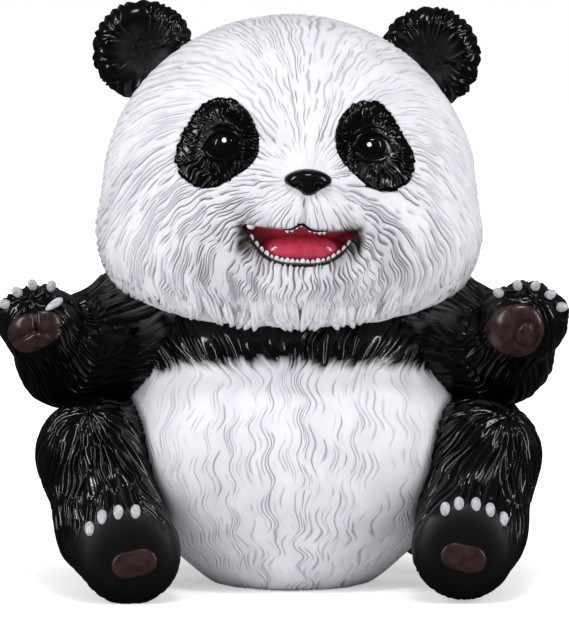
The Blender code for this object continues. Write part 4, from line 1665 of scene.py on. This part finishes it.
@dataclass
class Arm:
    """One raised front leg."""

    anatomy: Anatomy
    side: Side
    pad_middles: tuple = ((-85.3, 90.3), (76.4, 90.4))
    pad_corners: tuple = (
        ((-94.5, 90.3), (-90.1, 95), (-85, 97), (-80, 96.4), (-75.7, 93), (-77.4, 88.6), (-81.8, 85.3),
         (-86.8, 82.9), (-92.2, 84.9)),
        ((66.7, 90), (69.6, 96.4), (75.9, 99.1), (82.3, 97.7), (85.5, 92), (84.3, 86.3), (79, 81.6),
         (72.3, 82.2)))
    forked_crease: tuple = (((-85.2, 97.5), (-84.6, 90.8), (-90.0, 88.2), (-92.5, 86.5)),
                            ((-84.6, 90.8), (-80.5, 89.6), (-76.5, 91.2)))
    ring_middle: tuple = (79.4, 89.4)
    ring_radii: tuple = (3.4, 4.3)

    def build(self, shop: Workshop) -> None:
        """Makes the furry shell, its claws and its palm pad.

        Args:
            shop: Keeps finishes and the scale.
        """
        anatomy, i = self.anatomy, self.side.value
        comb = Comb(pitch=2.4, depth=1.0, fewest=12, wave=0.6, wave_length=16, gaps=0.12, run=8.0, stray=0.4,
                    width=0.46, crown=0.6, lock=0.35, lock_cells=4.0, lock_run=8.0, seed=13 + i)
        knots = (anatomy.shoulders[i], anatomy.elbows[i], anatomy.wrists[i], anatomy.paws[i])
        rings = limb_rings(knots, anatomy.shoulder_radius, 12, 0.85, (0.2, 0.3, 1.0))
        relief = fur_net(self.toed, rings, comb, calm=self.furry)
        near = np.exp(-np.clip(anatomy.skull(relief.points), 0, 30) / 5.0)
        near = near * smooth_step(drift(relief.line * 0.9, relief.travel / 3, 7), -0.4, 0.5)
        layers = {"groove": relief.groove, "black": 1 - 0.75 * near,
                  "wash_and_shade": np.full(len(near), 0.75), "mouth": np.zeros(len(near))}
        mesh = shop.mesh(f"arm_{self.side.label}", relief.points, relief.faces, layers)
        shop.piece(mesh, GLOSS_COAT)
        self.claws(shop)
        self.palm(shop)

    def palm(self, shop: Workshop) -> None:
        """The creased pad of the paw: a forked crease on the left one, a ring on the right one.

        Args:
            shop: Keeps finishes and the scale.
        """
        i = self.side.value
        (x, z), (wide, high) = self.ring_middle, self.ring_radii
        turns = np.radians(np.arange(0, 361, 30))
        ring = tuple((x + wide * math.cos(t), z + high * math.sin(t)) for t in turns)
        pad = Plaque(self.pad_middles[i], self.pad_corners[i], rise=0.5, crown=2.3, rows=30, columns=96,
                     creases=(self.forked_crease, (ring,))[i])
        relief = pad.net(lambda p: self.anatomy.arm(p, self.side))
        mesh = shop.mesh(f"palm_{self.side.label}", relief.points, relief.faces)
        shop.piece(mesh, PAD_ENAMEL)

    def furry(self, points: Array) -> Array:
        """Share of the fur's depth that is kept: less about the pad."""
        pad = np.asarray(self.anatomy.palms[self.side.value])
        return 0.4 + 0.6 * smooth_step(np.linalg.norm((points - pad) / (13, 9, 11), axis=1), 0.8, 1.3)

    def toed(self, points: Array) -> Array:
        """The arm with a soft toe under each claw, a little proud as tufts of fur are.

        Args:
            points: Where to measure.

        Returns:
            The distances, negative inside.
        """
        aside = np.abs(points[:, 0] - self.anatomy.paws[self.side.value][0])
        dip = smooth_step(points[:, 2], 97, 106) * (1 - smooth_step(aside, 14, 20))
        form = self.anatomy.arm(points, self.side) - 0.3 + 1.7 * dip
        for x, z in self.claw_spots:
            radial = np.array((x, z)) - np.asarray(self.anatomy.paws[self.side.value])[[0, 2]]
            x, z = np.array((x, z)) - 4.9 * radial / np.linalg.norm(radial)
            form = fuse(form, ball(points, (x, -26.5, z), (3.9, 5.6, 3.9)), 1.4)
        return form

    @property
    def claw_spots(self) -> tuple:
        """Where each claw of the paw is, across and up."""
        return (((-95.7, 99.1), (-91.4, 103.2), (-86.2, 105.7), (-79.8, 105.3), (-78.8, 99.3)),
                ((70.2, 103.0), (76.7, 105.5), (82.8, 105.3), (87.8, 102.3), (91.7, 98.1)))[self.side.value]

    def claws(self, shop: Workshop) -> None:
        """Grows the five claws over the top of the paw.

        Args:
            shop: Keeps finishes and the scale.
        """
        flat = np.array(self.claw_spots)
        paw = np.asarray(self.anatomy.paws[self.side.value], float)
        radial = (flat - paw[[0, 2]]) / np.linalg.norm(flat - paw[[0, 2]], axis=1)[:, None]
        way = np.stack([0.55 * radial[:, 0], np.full(5, -0.75), 0.5 * radial[:, 1]], axis=1)
        sizes = np.tile((2.0, 1.9, 3.1), (5, 1))
        place = np.stack([flat[:, 0], np.full(5, -31.0), flat[:, 1]], axis=1)
        if self.side is Side.LEFT:
            way[4], sizes[4], place[4, 1] = (-0.84, -0.25, -0.5), (1.6, 1.5, 3.5), -34.2
        row = Seeds(f"paw_claws_{self.side.label}", segments=16, rings=12, taper=0.35, bend=0.2, seed=4)
        row.grow(shop, CLAW_ENAMEL, place, way, sizes, np.tile((0, -0.2, -1.0), (5, 1)))


@dataclass
class Leg:
    """One hind leg."""

    anatomy: Anatomy
    side: Side
    pad_radii: tuple = (8.2, 4.6)
    pad_tilt: float = 12.0

    def build(self, shop: Workshop) -> None:
        """Makes the furry shell, its claws and its sole pad.

        Args:
            shop: Keeps finishes and the scale.
        """
        anatomy, i = self.anatomy, self.side.value
        comb = Comb(pitch=2.7, depth=1.1, columns=5, fewest=12, wave=0.9, wave_length=24, gaps=0.08, run=14.0,
                    stray=0.3, width=0.5, crown=0.65, lock=0.15, lock_cells=4.0, lock_run=15.0, seed=17 + i)
        middle = np.array((60.5 * self.side.sign, -19, 31))
        hub = ((-7.5, -11, 33), (14.5, -9, 31))[i]
        rings = round_rings(middle, hub, 36, ((200, 1.15),), over=(0, 1, 0.1))
        relief = fur_net(lambda p: anatomy.leg(p, self.side) - 0.3, rings, comb, calm=self.furry)
        layers = relief.black(1 - self.furry(relief.points))
        mesh = shop.mesh(f"leg_{self.side.label}", relief.points, relief.faces, layers)
        shop.piece(mesh, GLOSS_COAT)
        self.claws(shop)
        self.sole_pad(shop)

    def sole_pad(self, shop: Workshop) -> None:
        """The oval pad on the sole.

        Args:
            shop: Keeps finishes and the scale.
        """
        x, z = self.anatomy.sole_pads[self.side.value]
        angle = np.radians(np.arange(8) * 45)
        tilt = math.radians(-self.pad_tilt * self.side.sign)
        oval = np.stack([self.pad_radii[0] * np.cos(angle), self.pad_radii[1] * np.sin(angle)], axis=1)
        oval = oval @ np.array([[math.cos(tilt), math.sin(tilt)], [-math.sin(tilt), math.cos(tilt)]])
        pad = Plaque((x, z), tuple(map(tuple, oval + (x, z))), rise=0.3, crown=1.3, rows=22, columns=64)
        relief = pad.net(lambda p: self.anatomy.leg(p, self.side))
        mesh = shop.mesh(f"sole_pad_{self.side.label}", relief.points, relief.faces)
        shop.piece(mesh, PAD_ENAMEL)

    def furry(self, points: Array) -> Array:
        """Share of the fur's depth that is kept: none on the bare sole."""
        bare = 5.0 + 13.0 * smooth_step(-points[:, 2], -28, -20)
        return smooth_step(points[:, 1], self.anatomy.sole_depth + 1.5, self.anatomy.sole_depth + bare)

    def claws(self, shop: Workshop) -> None:
        """Grows the claws over the top of the sole.

        Args:
            shop: Keeps finishes and the scale.
        """
        spots = (((-66.2, 26.0), (-62.1, 29.9), (-56.7, 31.5), (-51.0, 31.6)),
                 ((51.8, 32.4), (56.4, 34.1), (62.0, 33.9), (66.7, 32.1), (71.2, 29.0)))[self.side.value]
        place = pressed(lambda p: self.anatomy.leg(p, self.side), np.array(spots)) - (0, 0.4, 0)
        count = len(spots)
        row = Seeds(f"foot_claws_{self.side.label}", segments=16, rings=12, taper=0.12, bend=0.2, seed=4)
        row.grow(shop, CLAW_ENAMEL, place, np.tile((0, -0.7, -0.85), (count, 1)),
                 np.tile((1.9, 1.8, 2.6), (count, 1)), np.tile((0, 0.5, -1.0), (count, 1)))


@dataclass
class Ear:
    """One ear."""

    anatomy: Anatomy
    side: Side

    def build(self, shop: Workshop) -> None:
        """Makes the shell: a furry rim about a smoother cup.

        Args:
            shop: Keeps finishes and the scale.
        """
        anatomy, i = self.anatomy, self.side.value
        comb = Comb(pitch=2.5, depth=0.95, fewest=9, wave=1.3, wave_length=10, gaps=0.06, run=9.0, stray=0.45,
                    width=0.5, crown=0.6, lock=0.3, lock_cells=4.0, lock_run=6.0, seed=19 + i)
        x, y, z = anatomy.ears[i]
        rings = round_rings((x, y + 1.5, z), (0, -1, 0), 14, ((50, 0.7),))
        relief = fur_net(lambda p: anatomy.ear(p, self.side) - 0.9, rings, comb, calm=self.furry)
        layers = relief.black(1.1 - self.furry(relief.points))
        mesh = shop.mesh(f"ear_{self.side.label}", relief.points, relief.faces, layers)
        shop.piece(mesh, GLOSS_COAT)

    def furry(self, points: Array) -> Array:
        """Share of the fur's depth that is kept: little in the cup, all of it round the rim."""
        x, _, z = self.anatomy.ears[self.side.value]
        return 0.1 + 0.9 * smooth_step(np.hypot(points[:, 0] - x, points[:, 2] - z), 6.0, 13.0)


@dataclass
class Studio:
    """Pale floor, pale world, three soft boxes and the camera.

    Floor and world are darker in glossy reflections, as black cards beside a photographer's table are.
    """

    distance: float = 1200.0
    shot_scale: float = 0.345
    elevation: float = 5.0
    shot_height: int = 617
    target: tuple = (-1.55, 0.0, 94.75)
    floor_half_m: float = 6.0
    paper: str = "FAFAFA"
    mirrored_paper: str = "404040"
    glow_from_m: float = 0.07
    glow_to_m: float = 0.17
    glow: float = 0.42
    fill: float = 0.36
    mirrored_fill: float = -0.25
    softboxes: tuple = (("softbox_left", (-0.85, -0.50, 0.50), (0.07, 0.80), 6.0),
                        ("softbox_right", (0.90, -0.45, 0.45), (0.055, 0.80), 4.9),
                        ("softbox_top", (0.05, -0.45, 1.00), (0.30, 0.08), 3.0))

    def build(self, unit_m: float) -> None:
        """Sets the floor, the world, the lights and the camera.

        Args:
            unit_m: Metres in one figurine millimetre.
        """
        scene = bpy.context.scene
        scene.view_settings.view_transform = "Standard"
        scene.view_settings.look = "None"
        self.floor()
        self.sky()
        for name, place, size, power in self.softboxes:
            self.softbox(name, place, size, power)
        self.camera(unit_m)

    def floor(self) -> None:
        """A sheet of pale paper that glows up to white away from the figurine, so no horizon shows."""
        half = self.floor_half_m
        sheet = bpy.data.meshes.new("floor")
        corners = [(-half, -half, 0), (half, -half, 0), (half, half, 0), (-half, half, 0)]
        sheet.from_pydata(corners, [], [(0, 1, 2, 3)])
        material = bpy.data.materials.new("floor_paper")
        material.use_nodes = True
        tree = material.node_tree
        paper = tree.nodes["Principled BSDF"]
        paper.inputs["Emission Color"].default_value = linear("FFFFFF")
        paper.inputs["Roughness"].default_value = 0.9
        rays = add_node(tree, "ShaderNodeLightPath").outputs
        colour = add_node(tree, "ShaderNodeMix", {"data_type": "RGBA"}, i0=rays["Is Glossy Ray"],
                          i6=linear(self.paper), i7=linear(self.mirrored_paper))
        tree.links.new(colour.outputs[2], paper.inputs["Base Color"])
        place = add_node(tree, "ShaderNodeTexCoord").outputs["Object"]
        far = add_node(tree, "ShaderNodeVectorMath", {"operation": "LENGTH"}, i0=place).outputs["Value"]
        glow = add_node(tree, "ShaderNodeMapRange", Value=far, From_Min=self.glow_from_m,
                        From_Max=self.glow_to_m, To_Min=self.glow, To_Max=1.0)
        seen = add_node(tree, "ShaderNodeMath", {"operation": "MULTIPLY"}, i0=glow.outputs[0],
                        i1=rays["Is Camera Ray"])
        tree.links.new(seen.outputs[0], paper.inputs["Emission Strength"])
        sheet.materials.append(material)
        obj = bpy.data.objects.new("floor", sheet)
        bpy.context.scene.collection.objects.link(obj)

    def sky(self) -> None:
        """A white world, dimmer as a light than it is to the camera."""
        world = bpy.data.worlds.new("studio")
        world.use_nodes = True
        tree = world.node_tree
        white = tree.nodes["Background"]
        white.inputs["Color"].default_value = linear("FFFFFF")
        rays = add_node(tree, "ShaderNodeLightPath").outputs
        plain = add_node(tree, "ShaderNodeMapRange", Value=rays["Is Camera Ray"], To_Min=self.fill,
                         To_Max=1.0)
        mirrored = add_node(tree, "ShaderNodeMath", {"operation": "MULTIPLY_ADD"},
                            i0=rays["Is Glossy Ray"], i1=self.mirrored_fill, i2=plain.outputs[0])
        tree.links.new(mirrored.outputs[0], white.inputs["Strength"])
        bpy.context.scene.world = world

    def camera(self, unit_m: float) -> None:
        """The photograph's camera: far off and a little above the figurine.

        Args:
            unit_m: Metres in one figurine millimetre.
        """
        camera = bpy.data.cameras.new("camera")
        camera.sensor_fit = "VERTICAL"
        camera.sensor_height = 24.0
        camera.lens = 24.0 * self.distance / self.shot_scale / self.shot_height
        camera.clip_end = 20
        obj = bpy.data.objects.new("camera", camera)
        rise = math.radians(self.elevation)
        back = Vector((0, -math.cos(rise), math.sin(rise)))
        target = Vector((np.array(self.target) + STANCE) * unit_m)
        obj.location = target + back * self.distance * unit_m
        obj.rotation_euler = (-back).to_track_quat("-Z", "Y").to_euler()
        bpy.context.scene.collection.objects.link(obj)
        bpy.context.scene.camera = obj

    def softbox(self, name: str, place: Sequence[float], size: Sequence[float], power: float) -> None:
        """One rectangular light, turned to the figurine's middle.

        Args:
            name: The light's name.
            place: Where it hangs, in metres.
            size: Its sides, in metres.
            power: Its power in watts.
        """
        light = bpy.data.lights.new(name, "AREA")
        light.shape = "RECTANGLE"
        light.size, light.size_y = size
        light.energy = power
        obj = bpy.data.objects.new(name, light)
        obj.location = place
        aim = Vector(place) - Vector((0, 0, 0.1))
        obj.rotation_euler = aim.to_track_quat("Z", "Y").to_euler()
        bpy.context.scene.collection.objects.link(obj)


def main() -> None:
    """Builds every piece in order, then the studio."""
    logging.basicConfig(level=logging.INFO, format="%(name)s %(message)s")
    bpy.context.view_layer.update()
    low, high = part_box(CAST_NODE)
    unit_m = (high[2] - low[2]) / CAST_HEIGHT
    shop = Workshop(unit_m)
    anatomy = Anatomy()
    Head(anatomy).build(shop)
    Fringe(anatomy).build(shop)
    Trunk(anatomy).build(shop)
    for side in Side:
        Arm(anatomy, side).build(shop)
        Leg(anatomy, side).build(shop)
        Ear(anatomy, side).build(shop)
    Studio().build(unit_m)


if __name__ == "__main__":
    main()
